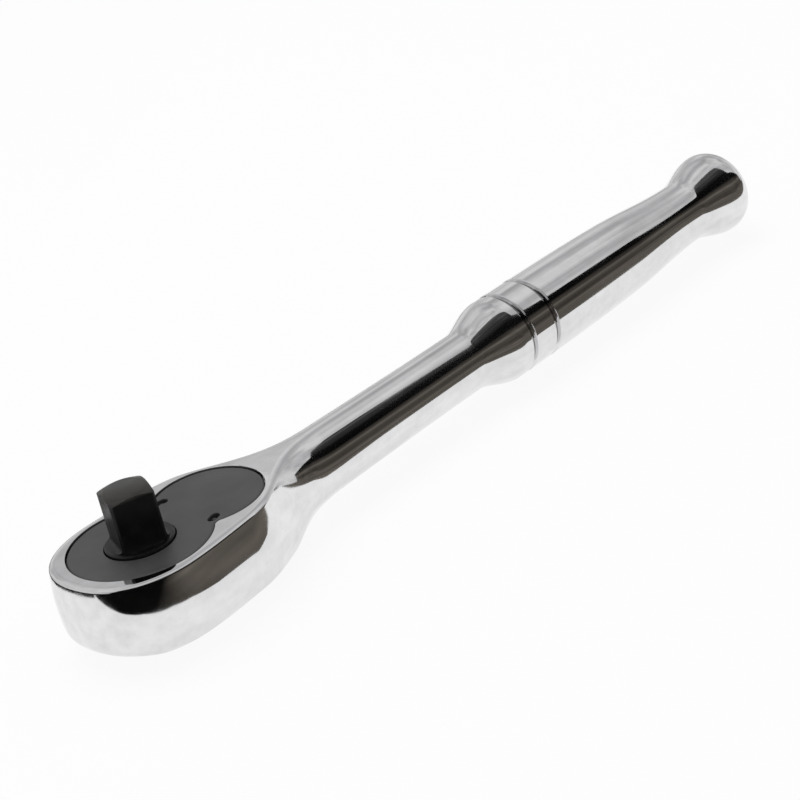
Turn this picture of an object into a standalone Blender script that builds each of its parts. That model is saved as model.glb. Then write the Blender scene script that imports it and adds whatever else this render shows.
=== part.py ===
"""Ratchet wrench with a reversing lever and a quick-release square drive.

Units are metres, +Z is the drive direction and +X runs along the handle. The origin is the
centre of the square drive's end face, so the head and the handle lie below it.
"""

import math

import bmesh
import bpy
import numpy as np
from mathutils import Matrix

MM = 0.001

# Square drive
DRIVE_SQUARE = 9.5 * MM
DRIVE_CORNER_RADIUS = 6.4 * MM
DRIVE_REACH = 12.1 * MM
DRIVE_END_RADIUS = 4.2 * MM
DRIVE_END_CHAMFER = 0.9 * MM
DRIVE_FILLET = 1.2 * MM
DRIVE_TURN = math.radians(66.7)

# Head and neck, half widths measured at mid thickness
HEAD_THICKNESS = 16.6 * MM
HEAD_FRONT_REACH = 19.45 * MM
HEAD_HALF_WIDTH = 18.0 * MM
HEAD_FRONT_POWER = 2.25
HEAD_BULGE = 1.3 * MM
NOSE_BACK_ROUND = 3.6 * MM
SIDE_BACK_ROUND = 1.6 * MM
BACK_ROUND_FADE = 9.0 * MM
NECK_START = 15.0 * MM
NECK_START_HALF_WIDTH = 16.9 * MM
NECK_START_SLOPE = -0.10
NECK_BLEND_START = 21.0 * MM
NECK_BACK_BLEND_START = 28.0 * MM
NECK_BLEND_END = 50.0 * MM
NECK_BLEND_MIX = 0.4

# Shank and grip, as places along X with radii
SHANK_START = 44.0 * MM
SHANK_START_RADIUS = 7.65 * MM
SHANK_START_SLOPE = -0.012
SHANK_END = 95.5 * MM
SHANK_END_RADIUS = 7.0 * MM
GRIP_START = 107.0 * MM
GRIP_START_RADIUS = 9.88 * MM
GRIP_MIDDLE = 150.0 * MM
GRIP_MIDDLE_RADIUS = 9.15 * MM
GRIP_MIDDLE_SLOPE = -0.04
WAIST = 175.5 * MM
WAIST_RADIUS = 7.4 * MM
BULB = 187.5 * MM
BULB_RADIUS = 10.05 * MM
HANDLE_END = 192.9 * MM
HANDLE_END_RADIUS = 5.0 * MM
GROOVE_PLACES = (109.6 * MM, 117.6 * MM)
GROOVE_WIDTH = 1.7 * MM
GROOVE_DEPTH = 0.7 * MM
GROOVE_FLANK = 0.3 * MM

# Cover plate, a figure eight round the drive and the lever
PIVOT_DISTANCE = 18.7 * MM
COVER_LARGE_RADIUS = 15.25 * MM
COVER_SMALL_RADIUS = 12.1 * MM
COVER_NOTCH_RADIUS = 1.8 * MM
COVER_THICKNESS = 2.8 * MM
COVER_SUNK = 0.1 * MM
COVER_EDGE_ROUND = 0.7 * MM
COVER_LEDGE = 1.35 * MM
SLOT_LENGTH = 3.2 * MM
SLOT_WIDTH = 1.9 * MM
SLOT_LEAN = math.radians(15.0)

# Retaining ring
RING_WIRE_RADIUS = 0.55 * MM
RING_END_ANGLE = math.radians(32.0)
RING_END_RISE = 0.9 * MM

# Gear and pawl
TEETH = 36
GEAR_TIP_RADIUS = 13.4 * MM
TOOTH_DEPTH = 1.25 * MM
TOOTH_TIP_FLAT = 0.45 * MM
TOOTH_ROOT_FLAT = 0.5 * MM
MECHANISM_DEPTH = 9.4 * MM
BOSS_RADIUS = 7.3 * MM
BOSS_RISE = 0.5 * MM
HUB_RADIUS = 7.0 * MM
HUB_SUNK = 0.3 * MM
PAWL_SWING = math.radians(9.0)
PAWL_GAP = 0.35 * MM
PAWL_SCALLOP_RADIUS = 5.2 * MM
PAWL_SCALLOP_PLACE = 9.0 * MM
MESH_GAP = 0.13 * MM

# Reversing lever
LEVER_SWING = math.radians(28.0)
LEVER_HUB_RADIUS = 7.2 * MM
LEVER_TIP_RADIUS = 3.6 * MM
LEVER_REACH = 14.5 * MM
LEVER_THICKNESS = 3.2 * MM
LEVER_EDGE_ROUND = 0.7 * MM
LEVER_RIBS = 3
LEVER_RIB_PITCH = 1.9 * MM
LEVER_RIB_RADIUS = 0.6 * MM
POST_RADIUS = 4.2 * MM
POST_GROOVE_DEPTH = 0.8 * MM
CLIP_THICKNESS = 0.8 * MM
CLIP_WIDTH = 2.2 * MM
CLIP_MOUTH = math.radians(70.0)

# Plunger that throws the pawl over
PLUNGER_RADIUS = 1.4 * MM
PLUNGER_LENGTH = 3.4 * MM
PLUNGER_PROUD = 1.15 * MM
PLUNGER_TRAVEL = 0.8 * MM
PLUNGER_SPRING_ROOM = 3.6 * MM
PLUNGER_SPRING_WIRE = 0.15 * MM
PLUNGER_SPRING_TURNS = 4
HOLLOW_RADIUS = 2.0 * MM
HOLLOW_OFFSET = 0.4 * MM

# Quick release
BALL_RADIUS = 1.6 * MM
BALL_PROUD = 0.55 * MM
BALL_FROM_END = 5.7 * MM
BALL_MOUTH_GAP = 0.14 * MM
STEM_NECK_RADIUS = 1.1 * MM
STEM_NECK_LENGTH = 3.8 * MM
STEM_TIP = 1.3 * MM
STEM_TIP_CHAMFER = 0.3 * MM
DRIVE_END_WALL = 1.5 * MM
BUTTON_RADIUS = 3.4 * MM
BUTTON_FLANGE_RADIUS = 4.3 * MM
BUTTON_FLANGE_THICKNESS = 2.4 * MM
BUTTON_PROUD = 1.0 * MM
BUTTON_EDGE_ROUND = 0.5 * MM
BUTTON_TRAVEL = 2.5 * MM
RELEASE_SPRING_ROOM = 6.5 * MM
RELEASE_SPRING_WIRE = 0.25 * MM
RELEASE_SPRING_TURNS = 5
RELEASE_RING_THICKNESS = 0.6 * MM
RELEASE_RING_DEPTH = 0.5 * MM
RELEASE_RING_MOUTH = math.radians(60.0)

# Clearances
RUNNING_GAP = 0.2 * MM
SEAT_GAP = 0.3 * MM
CUT_MARGIN = 1.0 * MM

# Facets
ROUND_STEPS = 48
SMALL_ROUND_STEPS = 24
SECTION_STEPS = 14
COIL_POINTS = 10

# Levels along Z and places worked out from the sizes above
RIM_Z = -DRIVE_REACH
AXIS_Z = RIM_Z - HEAD_THICKNESS / 2
BACK_Z = RIM_Z - HEAD_THICKNESS
COVER_TOP_Z = RIM_Z - COVER_SUNK
COVER_BOTTOM_Z = COVER_TOP_Z - COVER_THICKNESS
LEDGE_Z = COVER_BOTTOM_Z - SEAT_GAP
GEAR_TOP_Z = LEDGE_Z
GEAR_BOTTOM_Z = GEAR_TOP_Z - MECHANISM_DEPTH
FLOOR_Z = GEAR_BOTTOM_Z - SEAT_GAP
CLIP_TOP_Z = FLOOR_Z - RUNNING_GAP
CLIP_BOTTOM_Z = CLIP_TOP_Z - CLIP_THICKNESS
CLIP_SEAT_Z = CLIP_BOTTOM_Z - SEAT_GAP
HUB_END_Z = BACK_Z + HUB_SUNK
LEVER_TOP_Z = BACK_Z - SEAT_GAP
LEVER_BOTTOM_Z = LEVER_TOP_Z - LEVER_THICKNESS
BOSS_TOP_Z = RIM_Z + BOSS_RISE
BALL_Z = -BALL_FROM_END
RING_Z = COVER_TOP_Z - COVER_THICKNESS / 2
RING_RADIUS = COVER_LARGE_RADIUS + RUNNING_GAP / 2
PLUNGER_Z = (GEAR_TOP_Z + GEAR_BOTTOM_Z) / 2
GEAR_ROOT_RADIUS = GEAR_TIP_RADIUS - TOOTH_DEPTH
BALL_PLACE = DRIVE_SQUARE / 2 + BALL_PROUD - BALL_RADIUS
STEM_RADIUS = BALL_PLACE - BALL_RADIUS - SEAT_GAP
STEM_BORE_RADIUS = STEM_RADIUS + RUNNING_GAP
BUTTON_BORE_RADIUS = BUTTON_FLANGE_RADIUS + RUNNING_GAP
BUTTON_END_Z = BACK_Z - BUTTON_PROUD
RELEASE_RING_BOTTOM_Z = HUB_END_Z + RELEASE_RING_DEPTH
RELEASE_RING_TOP_Z = RELEASE_RING_BOTTOM_Z + RELEASE_RING_THICKNESS
FLANGE_BOTTOM_Z = RELEASE_RING_TOP_Z + SEAT_GAP
FLANGE_TOP_Z = FLANGE_BOTTOM_Z + BUTTON_FLANGE_THICKNESS
SPRING_SEAT_Z = FLANGE_TOP_Z + RELEASE_SPRING_ROOM
CLIP_RADIUS = POST_RADIUS - POST_GROOVE_DEPTH + RUNNING_GAP + CLIP_WIDTH
CAVITY_SMALL_RADIUS = COVER_SMALL_RADIUS - COVER_LEDGE
PAWL_RADIUS = CAVITY_SMALL_RADIUS - SEAT_GAP
HOLLOW_PLACE = POST_RADIUS + HOLLOW_OFFSET


def clear_scene():
    """Start from an empty scene."""
    for old in list(bpy.data.objects):
        bpy.data.objects.remove(old, do_unlink=True)


def new_collection(name):
    made = bpy.data.collections.new(name)
    bpy.context.scene.collection.children.link(made)
    return made


clear_scene()
PARTS = new_collection("ratchet_wrench")
CUTTERS = new_collection("cutters")


def finish(name, colour, metallic, roughness):
    """A Principled material for one sub-part."""
    made = bpy.data.materials.new(name)
    made.use_nodes = True
    shader = made.node_tree.nodes["Principled BSDF"]
    shader.inputs["Base Color"].default_value = (*colour, 1.0)
    shader.inputs["Metallic"].default_value = metallic
    shader.inputs["Roughness"].default_value = roughness
    return made


def add_part(mesh_object, material, sharp_angle=math.radians(35.0)):
    """Put an object among the parts, with its material and smooth shading."""
    PARTS.objects.link(mesh_object)
    mesh_object.data.materials.append(material)
    mesh_object.data.shade_smooth()
    mesh_object.data.set_sharp_from_angle(angle=sharp_angle)
    return mesh_object


def add_cutter(mesh_object):
    """Put an object among the helpers that only cut or join."""
    CUTTERS.objects.link(mesh_object)
    mesh_object.hide_render = True
    mesh_object.display_type = "WIRE"
    return mesh_object


def boolean(target, tool, operation="DIFFERENCE"):
    step = target.modifiers.new(f"{operation.lower()}_{tool.name}", "BOOLEAN")
    step.operation = operation
    step.solver = "EXACT"
    step.object = tool


def mesh_from(name, mesh_builder):
    """A mesh object from a bmesh, its faces turned outwards."""
    bmesh.ops.recalc_face_normals(mesh_builder, faces=mesh_builder.faces)
    mesh = bpy.data.meshes.new(name)
    mesh_builder.to_mesh(mesh)
    mesh_builder.free()
    return bpy.data.objects.new(name, mesh)


def meshed_curve(name, curve):
    """The curve's evaluated mesh as a closed object, in the place of the curve."""
    holder = bpy.data.objects.new(f"{name}_curve", curve)
    bpy.context.scene.collection.objects.link(holder)
    bpy.context.view_layer.update()
    graph = bpy.context.evaluated_depsgraph_get()
    mesh = bpy.data.meshes.new_from_object(holder.evaluated_get(graph))
    builder = bmesh.new()
    builder.from_mesh(mesh)
    bpy.data.meshes.remove(mesh)
    bpy.data.objects.remove(holder)
    bmesh.ops.remove_doubles(builder, verts=builder.verts, dist=0.002 * MM)
    return mesh_from(name, builder)


def add_spline(curve, points, closed):
    spline = curve.splines.new("POLY")
    spline.points.add(len(points) - 1)
    spline.points.foreach_set("co", np.column_stack([points, np.ones(len(points))]).ravel())
    spline.use_cyclic_u = closed


def plate(name, outline, low, high):
    """A flat outline, a list of (x, y), extruded from low to high along Z."""
    curve = bpy.data.curves.new(name, "CURVE")
    curve.dimensions = "2D"
    curve.fill_mode = "BOTH"
    curve.extrude = (high - low) / 2
    flat = np.column_stack([outline, np.zeros(len(outline))])
    add_spline(curve, flat, True)
    made = meshed_curve(name, curve)
    made.data.transform(Matrix.Translation((0.0, 0.0, (high + low) / 2)))
    return made


def wire(name, points, radius, sides_level=1):
    """A round wire along the points, with flat ends."""
    curve = bpy.data.curves.new(name, "CURVE")
    curve.dimensions = "3D"
    curve.bevel_depth = radius
    curve.bevel_resolution = sides_level
    curve.use_fill_caps = True
    add_spline(curve, np.asarray(points), False)
    return meshed_curve(name, curve)


def turned(name, profile, steps=ROUND_STEPS, ring=False):
    """A profile of (radius, z), running down its outer side, turned about Z by a Screw modifier."""
    builder = bmesh.new()
    corners = [builder.verts.new((radius, 0.0, level)) for radius, level in profile]
    for first, second in zip(corners, corners[1:]):
        builder.edges.new((first, second))
    if ring:
        builder.edges.new((corners[-1], corners[0]))
    mesh = bpy.data.meshes.new(name)
    builder.to_mesh(mesh)
    builder.free()
    made = bpy.data.objects.new(name, mesh)
    screw = made.modifiers.new("turn", "SCREW")
    screw.axis = "Z"
    screw.steps = steps
    screw.render_steps = steps
    screw.use_merge_vertices = True
    screw.merge_threshold = 0.001 * MM
    return made


def rod(name, radius, low, high, steps=ROUND_STEPS):
    """A plain round cutter or bar along Z."""
    return turned(name, [(0.0, high), (radius, high), (radius, low), (0.0, low)], steps)


def arc(centre, radius, start, end, count):
    """Points of an arc from one angle to another, both ends kept."""
    angles = np.linspace(start, end, count)
    return np.column_stack([centre[0] + radius * np.cos(angles), centre[1] + radius * np.sin(angles)])


def figure_eight(growth=0.0):
    """Two round ends joined by a filleted notch on each side, offset outwards by growth."""
    large = COVER_LARGE_RADIUS + growth
    small = COVER_SMALL_RADIUS + growth
    notch = COVER_NOTCH_RADIUS - growth
    reach = large + notch
    notch_x = (reach**2 - (small + notch) ** 2 + PIVOT_DISTANCE**2) / (2 * PIVOT_DISTANCE)
    notch_y = math.sqrt(reach**2 - notch_x**2)
    large_angle = math.atan2(notch_y, notch_x)
    small_angle = math.atan2(notch_y, notch_x - PIVOT_DISTANCE)
    to_large = math.atan2(notch_y, -notch_x)
    to_small = math.atan2(notch_y, PIVOT_DISTANCE - notch_x)
    return np.concatenate(
        [
            arc((0.0, 0.0), large, large_angle, 2 * math.pi - large_angle, ROUND_STEPS),
            arc((notch_x, -notch_y), notch, to_large, to_small, 6)[1:-1],
            arc((PIVOT_DISTANCE, 0.0), small, -small_angle, small_angle, ROUND_STEPS * 2 // 3),
            arc((notch_x, notch_y), notch, -to_small, -to_large, 6)[1:-1],
        ]
    )


def gear_outline(growth=0.0):
    """Symmetrical teeth with flat tips and roots, offset outwards by growth."""
    pitch = 2 * math.pi / TEETH
    tip = GEAR_TIP_RADIUS + growth
    root = GEAR_ROOT_RADIUS + growth
    root_half = pitch / 2 - TOOTH_ROOT_FLAT / 2 / GEAR_ROOT_RADIUS
    tip_half = TOOTH_TIP_FLAT / 2 / GEAR_TIP_RADIUS
    flank = math.atan2(GEAR_ROOT_RADIUS * root_half - TOOTH_TIP_FLAT / 2, TOOTH_DEPTH)
    spread = growth * (1 / math.cos(flank) - math.tan(flank))
    root_half += spread / root
    tip_half += spread / tip
    radii = np.array([root, tip, tip, root])
    offsets = np.array([-root_half, -tip_half, tip_half, root_half])
    angles = (np.arange(TEETH)[:, None] * pitch + offsets).ravel()
    radii = np.tile(radii, TEETH)
    return np.column_stack([radii * np.cos(angles), radii * np.sin(angles)])


def smooth_step(value):
    value = np.clip(value, 0.0, 1.0)
    return value * value * (3 - 2 * value)


def hermite(x, knots):
    """A smooth curve through (place, value, slope) knots."""
    places, values, slopes = (np.array(column) for column in zip(*knots))
    span = np.clip(np.searchsorted(places, x, side="right") - 1, 0, len(places) - 2)
    length = places[span + 1] - places[span]
    t = (x - places[span]) / length
    start = (1 + 2 * t) * (1 - t) ** 2 * values[span] + t * (1 - t) ** 2 * length * slopes[span]
    end = t * t * (3 - 2 * t) * values[span + 1] + t * t * (t - 1) * length * slopes[span + 1]
    return start + end


HALF_WIDTH_KNOTS = (
    (0.0, HEAD_HALF_WIDTH, 0.0),
    (NECK_START, NECK_START_HALF_WIDTH, NECK_START_SLOPE),
    (SHANK_START, SHANK_START_RADIUS, SHANK_START_SLOPE),
    (SHANK_END, SHANK_END_RADIUS, 0.0),
    (GRIP_START, GRIP_START_RADIUS, 0.0),
    (GRIP_MIDDLE, GRIP_MIDDLE_RADIUS, GRIP_MIDDLE_SLOPE),
    (WAIST, WAIST_RADIUS, 0.0),
    (BULB, BULB_RADIUS, 0.0),
)


def handle_stations():
    """Places along X and half widths there, from the drive axis to the end of the bulb."""
    smooth = np.concatenate(
        [
            np.linspace(0.0, NECK_START, 4)[1:],
            np.linspace(NECK_START, NECK_BLEND_END, 13)[1:],
            np.linspace(NECK_BLEND_END, SHANK_END, 4)[1:],
            np.linspace(SHANK_END, GRIP_START, 8)[1:],
            np.linspace(GROOVE_PLACES[-1] + GROOVE_WIDTH, GRIP_MIDDLE, 4),
            np.linspace(GRIP_MIDDLE, WAIST, 7)[1:],
            np.linspace(WAIST, BULB, 7)[1:],
        ]
    )
    radii = hermite(smooth, HALF_WIDTH_KNOTS)
    half = GROOVE_WIDTH / 2
    floor_half = half - GROOVE_FLANK
    lips = np.array([-half, -floor_half, floor_half, half])
    depths = np.array([0.0, GROOVE_DEPTH, GROOVE_DEPTH, 0.0])
    grooves = np.concatenate([place + lips for place in GROOVE_PLACES])
    groove_radii = hermite(grooves, HALF_WIDTH_KNOTS) - np.tile(depths, len(GROOVE_PLACES))
    turn = np.linspace(0.0, math.pi / 2, 7)[1:]
    ends = BULB + (HANDLE_END - BULB) * np.sin(turn)
    end_radii = HANDLE_END_RADIUS + (BULB_RADIUS - HANDLE_END_RADIUS) * np.cos(turn)
    places = np.concatenate([smooth, grooves, ends])
    widths = np.concatenate([radii, groove_radii, end_radii])
    order = np.argsort(places)
    return places[order], widths[order]


def body_sections():
    """Points of the body's near half, one row for each section from the nose to the handle's end.

    In the head a section is a bulged side between two flat faces. Along the neck it blends into
    the round section of the shank, and the flat faces narrow to nothing.
    """
    nose = np.linspace(0.0, math.pi / 2, 15)
    exponent = 2 / HEAD_FRONT_POWER
    nose_x = -HEAD_FRONT_REACH * np.cos(nose) ** exponent
    nose_x[-1] = 0.0
    nose_y = HEAD_HALF_WIDTH * np.sin(nose) ** exponent
    normal_x = -((np.abs(nose_x) / HEAD_FRONT_REACH) ** (HEAD_FRONT_POWER - 1)) / HEAD_FRONT_REACH
    normal_y = (nose_y / HEAD_HALF_WIDTH) ** (HEAD_FRONT_POWER - 1) / HEAD_HALF_WIDTH
    length = np.hypot(normal_x, normal_y)
    rest_x, rest_width = handle_stations()
    place = np.concatenate([nose_x, rest_x])
    width = np.concatenate([nose_y, rest_width])
    out_x = np.concatenate([normal_x / length, np.zeros(len(rest_x))])
    out_y = np.concatenate([normal_y / length, np.ones(len(rest_x))])
    turn = np.linspace(math.pi / 2, -math.pi / 2, SECTION_STEPS + 1)
    level = np.sin(turn)
    face_blend = smooth_step((place - NECK_BLEND_START) / (NECK_BLEND_END - NECK_BLEND_START))
    back_blend = smooth_step((place - NECK_BACK_BLEND_START) / (NECK_BLEND_END - NECK_BACK_BLEND_START))
    backward = smooth_step((NECK_BLEND_MIX - level) / (2 * NECK_BLEND_MIX))
    blend = face_blend[:, None] * (1 - backward) + back_blend[:, None] * backward
    half = HEAD_THICKNESS / 2
    round_height = np.where(place < SHANK_START, SHANK_START_RADIUS, width)
    half_height = (1 - blend) * half + blend * round_height[:, None]
    along_nose = smooth_step((place + HEAD_FRONT_REACH) / BACK_ROUND_FADE)[:, None]
    back_round = NOSE_BACK_ROUND + (SIDE_BACK_ROUND - NOSE_BACK_ROUND) * along_nose
    drop = np.maximum(back_round - half - half * level, 0.0)
    rounding = back_round - np.sqrt(np.maximum(back_round**2 - drop**2, 0.0))
    head_inset = HEAD_BULGE * level**2 + rounding
    inset = (1 - blend) * head_inset + blend * width[:, None] * (1 - np.cos(turn))
    x = place[:, None] - out_x[:, None] * inset
    y = np.maximum(width[:, None] - out_y[:, None] * inset, 0.0)
    z = AXIS_Z + half_height * level
    return np.stack([x, y, z], axis=-1)


def body_blank():
    """The forging before it is machined: half of it lofted through its sections, then mirrored."""
    rows = body_sections()
    middle = rows[:, [0, -1]] * np.array([1.0, 0.0, 1.0])
    grid = np.concatenate([middle[:, :1], rows, middle[:, 1:]], axis=1)
    builder = bmesh.new()
    points = [[builder.verts.new(point) for point in row] for row in grid]
    for row, following in zip(points, points[1:]):
        for column in range(len(row) - 1):
            builder.faces.new((row[column], row[column + 1], following[column + 1], following[column]))
    builder.faces.new(points[-1])
    bmesh.ops.remove_doubles(builder, verts=builder.verts, dist=0.001 * MM)
    bmesh.ops.dissolve_degenerate(builder, dist=0.001 * MM, edges=builder.edges)
    made = mesh_from("body", builder)
    mirror = made.modifiers.new("two_halves", "MIRROR")
    mirror.use_axis = (False, True, False)
    mirror.merge_threshold = 0.005 * MM
    return made


def ring_path(radius, end_angle):
    """Points of the retaining ring's arc, open towards the handle."""
    angles = np.linspace(end_angle, 2 * math.pi - end_angle, ROUND_STEPS + 1)
    level = np.full(len(angles), RING_Z)
    return np.column_stack([radius * np.cos(angles), radius * np.sin(angles), level])


def ring_groove(name):
    """The groove for the retaining ring, run out past the ring's ends."""
    radius = RING_WIRE_RADIUS + RUNNING_GAP
    run_out = (radius + RUNNING_GAP) / RING_RADIUS
    return wire(name, ring_path(RING_RADIUS, RING_END_ANGLE - run_out), radius)


def make_body():
    """Forged handle and head, machined for the cover plate, the mechanism and the two pivots."""
    body = add_part(body_blank(), finish("chrome", (0.80, 0.80, 0.81), 1.0, 0.08))
    recess_outline = figure_eight(RUNNING_GAP)
    recess = plate("cover_recess", recess_outline, LEDGE_Z, RIM_Z + CUT_MARGIN)
    cavity = plate("mechanism_cavity", figure_eight(-COVER_LEDGE), FLOOR_Z, RIM_Z + CUT_MARGIN)
    groove = ring_groove("head_groove")
    hub_bore = rod("hub_bore", HUB_RADIUS + RUNNING_GAP, BACK_Z - CUT_MARGIN, FLOOR_Z + CUT_MARGIN)
    post_bore = rod("post_bore", POST_RADIUS + RUNNING_GAP, BACK_Z - CUT_MARGIN, FLOOR_Z + CUT_MARGIN)
    clip_seat = rod("clip_seat", CLIP_RADIUS + SEAT_GAP, CLIP_SEAT_Z, FLOOR_Z + CUT_MARGIN)
    for cutter in (post_bore, clip_seat):
        cutter.location.x = PIVOT_DISTANCE
    for cutter in (recess, cavity, groove, hub_bore, post_bore, clip_seat):
        boolean(body, add_cutter(cutter))
    return body


def slot_place(side):
    """Centre of one of the cover plate's two slots, where the ring's end stands."""
    angle = side * RING_END_ANGLE
    return RING_RADIUS * math.cos(angle), RING_RADIUS * math.sin(angle)


def make_cover_plate():
    cover = plate("cover_plate", figure_eight(), COVER_BOTTOM_Z, COVER_TOP_Z)
    add_part(cover, finish("dark_plate", (0.10, 0.10, 0.105), 0.7, 0.45))
    edge = cover.modifiers.new("edge_round", "BEVEL")
    edge.width = COVER_EDGE_ROUND
    edge.segments = 2
    edge.limit_method = "ANGLE"
    edge.angle_limit = math.radians(60.0)
    bore = rod("cover_bore", BOSS_RADIUS + RUNNING_GAP, COVER_BOTTOM_Z - CUT_MARGIN, COVER_TOP_Z + CUT_MARGIN)
    cutters = [bore, ring_groove("cover_groove")]
    straight = (SLOT_LENGTH - SLOT_WIDTH) / 2
    for side in (1, -1):
        outline = np.concatenate(
            [
                arc((straight, 0.0), SLOT_WIDTH / 2, -math.pi / 2, math.pi / 2, 9),
                arc((-straight, 0.0), SLOT_WIDTH / 2, math.pi / 2, 3 * math.pi / 2, 9),
            ]
        )
        slot = plate(f"slot_{'near' if side < 0 else 'far'}", outline, RING_Z, COVER_TOP_Z + CUT_MARGIN)
        slot.location = (*slot_place(side), 0.0)
        slot.rotation_euler.z = -side * SLOT_LEAN
        cutters.append(slot)
    for cutter in cutters:
        boolean(cover, add_cutter(cutter))
    return cover


def make_retaining_ring():
    """Sprung wire, half in the plate's groove and half in the head's, its ends turned up."""
    path = ring_path(RING_RADIUS, RING_END_ANGLE)
    rise = np.array([0.0, 0.0, RING_END_RISE])
    path = np.concatenate([path[:1] + rise, path, path[-1:] + rise])
    return add_part(
        wire("retaining_ring", path, RING_WIRE_RADIUS),
        finish("spring_steel_dark", (0.12, 0.12, 0.12), 1.0, 0.35),
    )


def make_drive_gear():
    """Turned spindle with boss, square and hub, its teeth, and the bores of the quick release."""
    half = DRIVE_SQUARE / 2
    boss_edge = BOSS_RISE / 2
    profile = [
        (0.0, 0.0),
        (DRIVE_END_RADIUS, 0.0),
        (DRIVE_CORNER_RADIUS, -DRIVE_END_CHAMFER),
        (DRIVE_CORNER_RADIUS, BOSS_TOP_Z),
        (BOSS_RADIUS - boss_edge, BOSS_TOP_Z),
        (BOSS_RADIUS, BOSS_TOP_Z - boss_edge),
        (BOSS_RADIUS, GEAR_TOP_Z - CUT_MARGIN),
        (HUB_RADIUS, GEAR_TOP_Z - CUT_MARGIN),
        (HUB_RADIUS, HUB_END_Z),
        (0.0, HUB_END_Z),
    ]
    gear = add_part(turned("drive_gear", profile), finish("black_steel", (0.03, 0.03, 0.03), 0.8, 0.38))
    teeth = plate("teeth", gear_outline(), GEAR_BOTTOM_Z, GEAR_TOP_Z)
    boolean(gear, add_cutter(teeth), "UNION")
    for index in range(4):
        flat = mill_cut(f"flat_{index}", half)
        flat.rotation_euler.z = DRIVE_TURN + index * math.pi / 2
        boolean(gear, add_cutter(flat))
    bore_profile = [
        (0.0, -DRIVE_END_WALL),
        (STEM_BORE_RADIUS, -DRIVE_END_WALL),
        (STEM_BORE_RADIUS, SPRING_SEAT_Z),
        (BUTTON_BORE_RADIUS, SPRING_SEAT_Z),
        (BUTTON_BORE_RADIUS, HUB_END_Z - CUT_MARGIN),
        (0.0, HUB_END_Z - CUT_MARGIN),
    ]
    boolean(gear, add_cutter(turned("release_bore", bore_profile, SMALL_ROUND_STEPS)))
    groove = rod(
        "release_ring_groove",
        BUTTON_BORE_RADIUS + RELEASE_RING_DEPTH + RUNNING_GAP,
        RELEASE_RING_BOTTOM_Z - RUNNING_GAP,
        RELEASE_RING_TOP_Z + RUNNING_GAP,
        SMALL_ROUND_STEPS,
    )
    boolean(gear, add_cutter(groove))
    mouth_start = DRIVE_SQUARE / 2 - SEAT_GAP
    mouth_chord = math.sqrt(BALL_RADIUS**2 - (mouth_start - BALL_PLACE) ** 2)
    ball_profile = [
        (0.0, half + CUT_MARGIN),
        (mouth_chord + BALL_MOUTH_GAP, half + CUT_MARGIN),
        (mouth_chord + BALL_MOUTH_GAP, mouth_start),
        (BALL_RADIUS + RUNNING_GAP, mouth_start),
        (BALL_RADIUS + RUNNING_GAP, 0.0),
        (0.0, 0.0),
    ]
    ball_bore = turned("ball_bore", ball_profile, SMALL_ROUND_STEPS)
    ball_bore.location.z = BALL_Z
    ball_bore.rotation_euler = (0.0, math.pi / 2, DRIVE_TURN)
    boolean(gear, add_cutter(ball_bore))
    return gear


def mill_cut(name, distance):
    """A block that mills one flat of the square and leaves a fillet at its foot."""
    length = DRIVE_REACH - BOSS_RISE + CUT_MARGIN
    depth = BOSS_RADIUS
    width = 2 * BOSS_RADIUS
    turn = np.linspace(math.pi, 1.5 * math.pi, 5)
    foot = np.column_stack([DRIVE_FILLET * (1 + np.cos(turn)), DRIVE_FILLET * (1 + np.sin(turn))])
    side = np.concatenate([[[0.0, length]], foot, [[depth, 0.0], [depth, length]]])
    block = plate(name, side, -width / 2, width / 2)
    upright = Matrix(((1, 0, 0, distance), (0, 0, -1, 0), (0, 1, 0, BOSS_TOP_Z), (0, 0, 0, 1)))
    block.data.transform(upright)
    return block


def make_detent_ball():
    builder = bmesh.new()
    bmesh.ops.create_uvsphere(builder, u_segments=16, v_segments=10, radius=BALL_RADIUS)
    ball = add_part(mesh_from("detent_ball", builder), finish("ball_steel", (0.55, 0.55, 0.56), 1.0, 0.15))
    ball.location = (BALL_PLACE * math.cos(DRIVE_TURN), BALL_PLACE * math.sin(DRIVE_TURN), BALL_Z)
    return ball


def make_release_pin():
    """Quick-release button and stem: its neck lets the ball in when the button is pressed."""
    neck_top = BALL_Z - BUTTON_TRAVEL + STEM_NECK_LENGTH / 2
    neck_bottom = neck_top - STEM_NECK_LENGTH
    cone = STEM_RADIUS - STEM_NECK_RADIUS
    tip = BALL_Z + STEM_TIP
    profile = [
        (0.0, tip),
        (STEM_RADIUS - STEM_TIP_CHAMFER, tip),
        (STEM_RADIUS, tip - STEM_TIP_CHAMFER),
        (STEM_RADIUS, neck_top),
        (STEM_NECK_RADIUS, neck_top - cone / 2),
        (STEM_NECK_RADIUS, neck_bottom + cone / 2),
        (STEM_RADIUS, neck_bottom),
        (STEM_RADIUS, FLANGE_TOP_Z),
        (BUTTON_FLANGE_RADIUS, FLANGE_TOP_Z),
        (BUTTON_FLANGE_RADIUS, FLANGE_BOTTOM_Z),
        (BUTTON_RADIUS, FLANGE_BOTTOM_Z),
        (BUTTON_RADIUS, BUTTON_END_Z + BUTTON_EDGE_ROUND),
        (BUTTON_RADIUS - BUTTON_EDGE_ROUND, BUTTON_END_Z),
        (0.0, BUTTON_END_Z),
    ]
    pin = turned("release_pin", profile, SMALL_ROUND_STEPS)
    return add_part(pin, finish("button_steel", (0.60, 0.60, 0.61), 1.0, 0.22))


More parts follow.
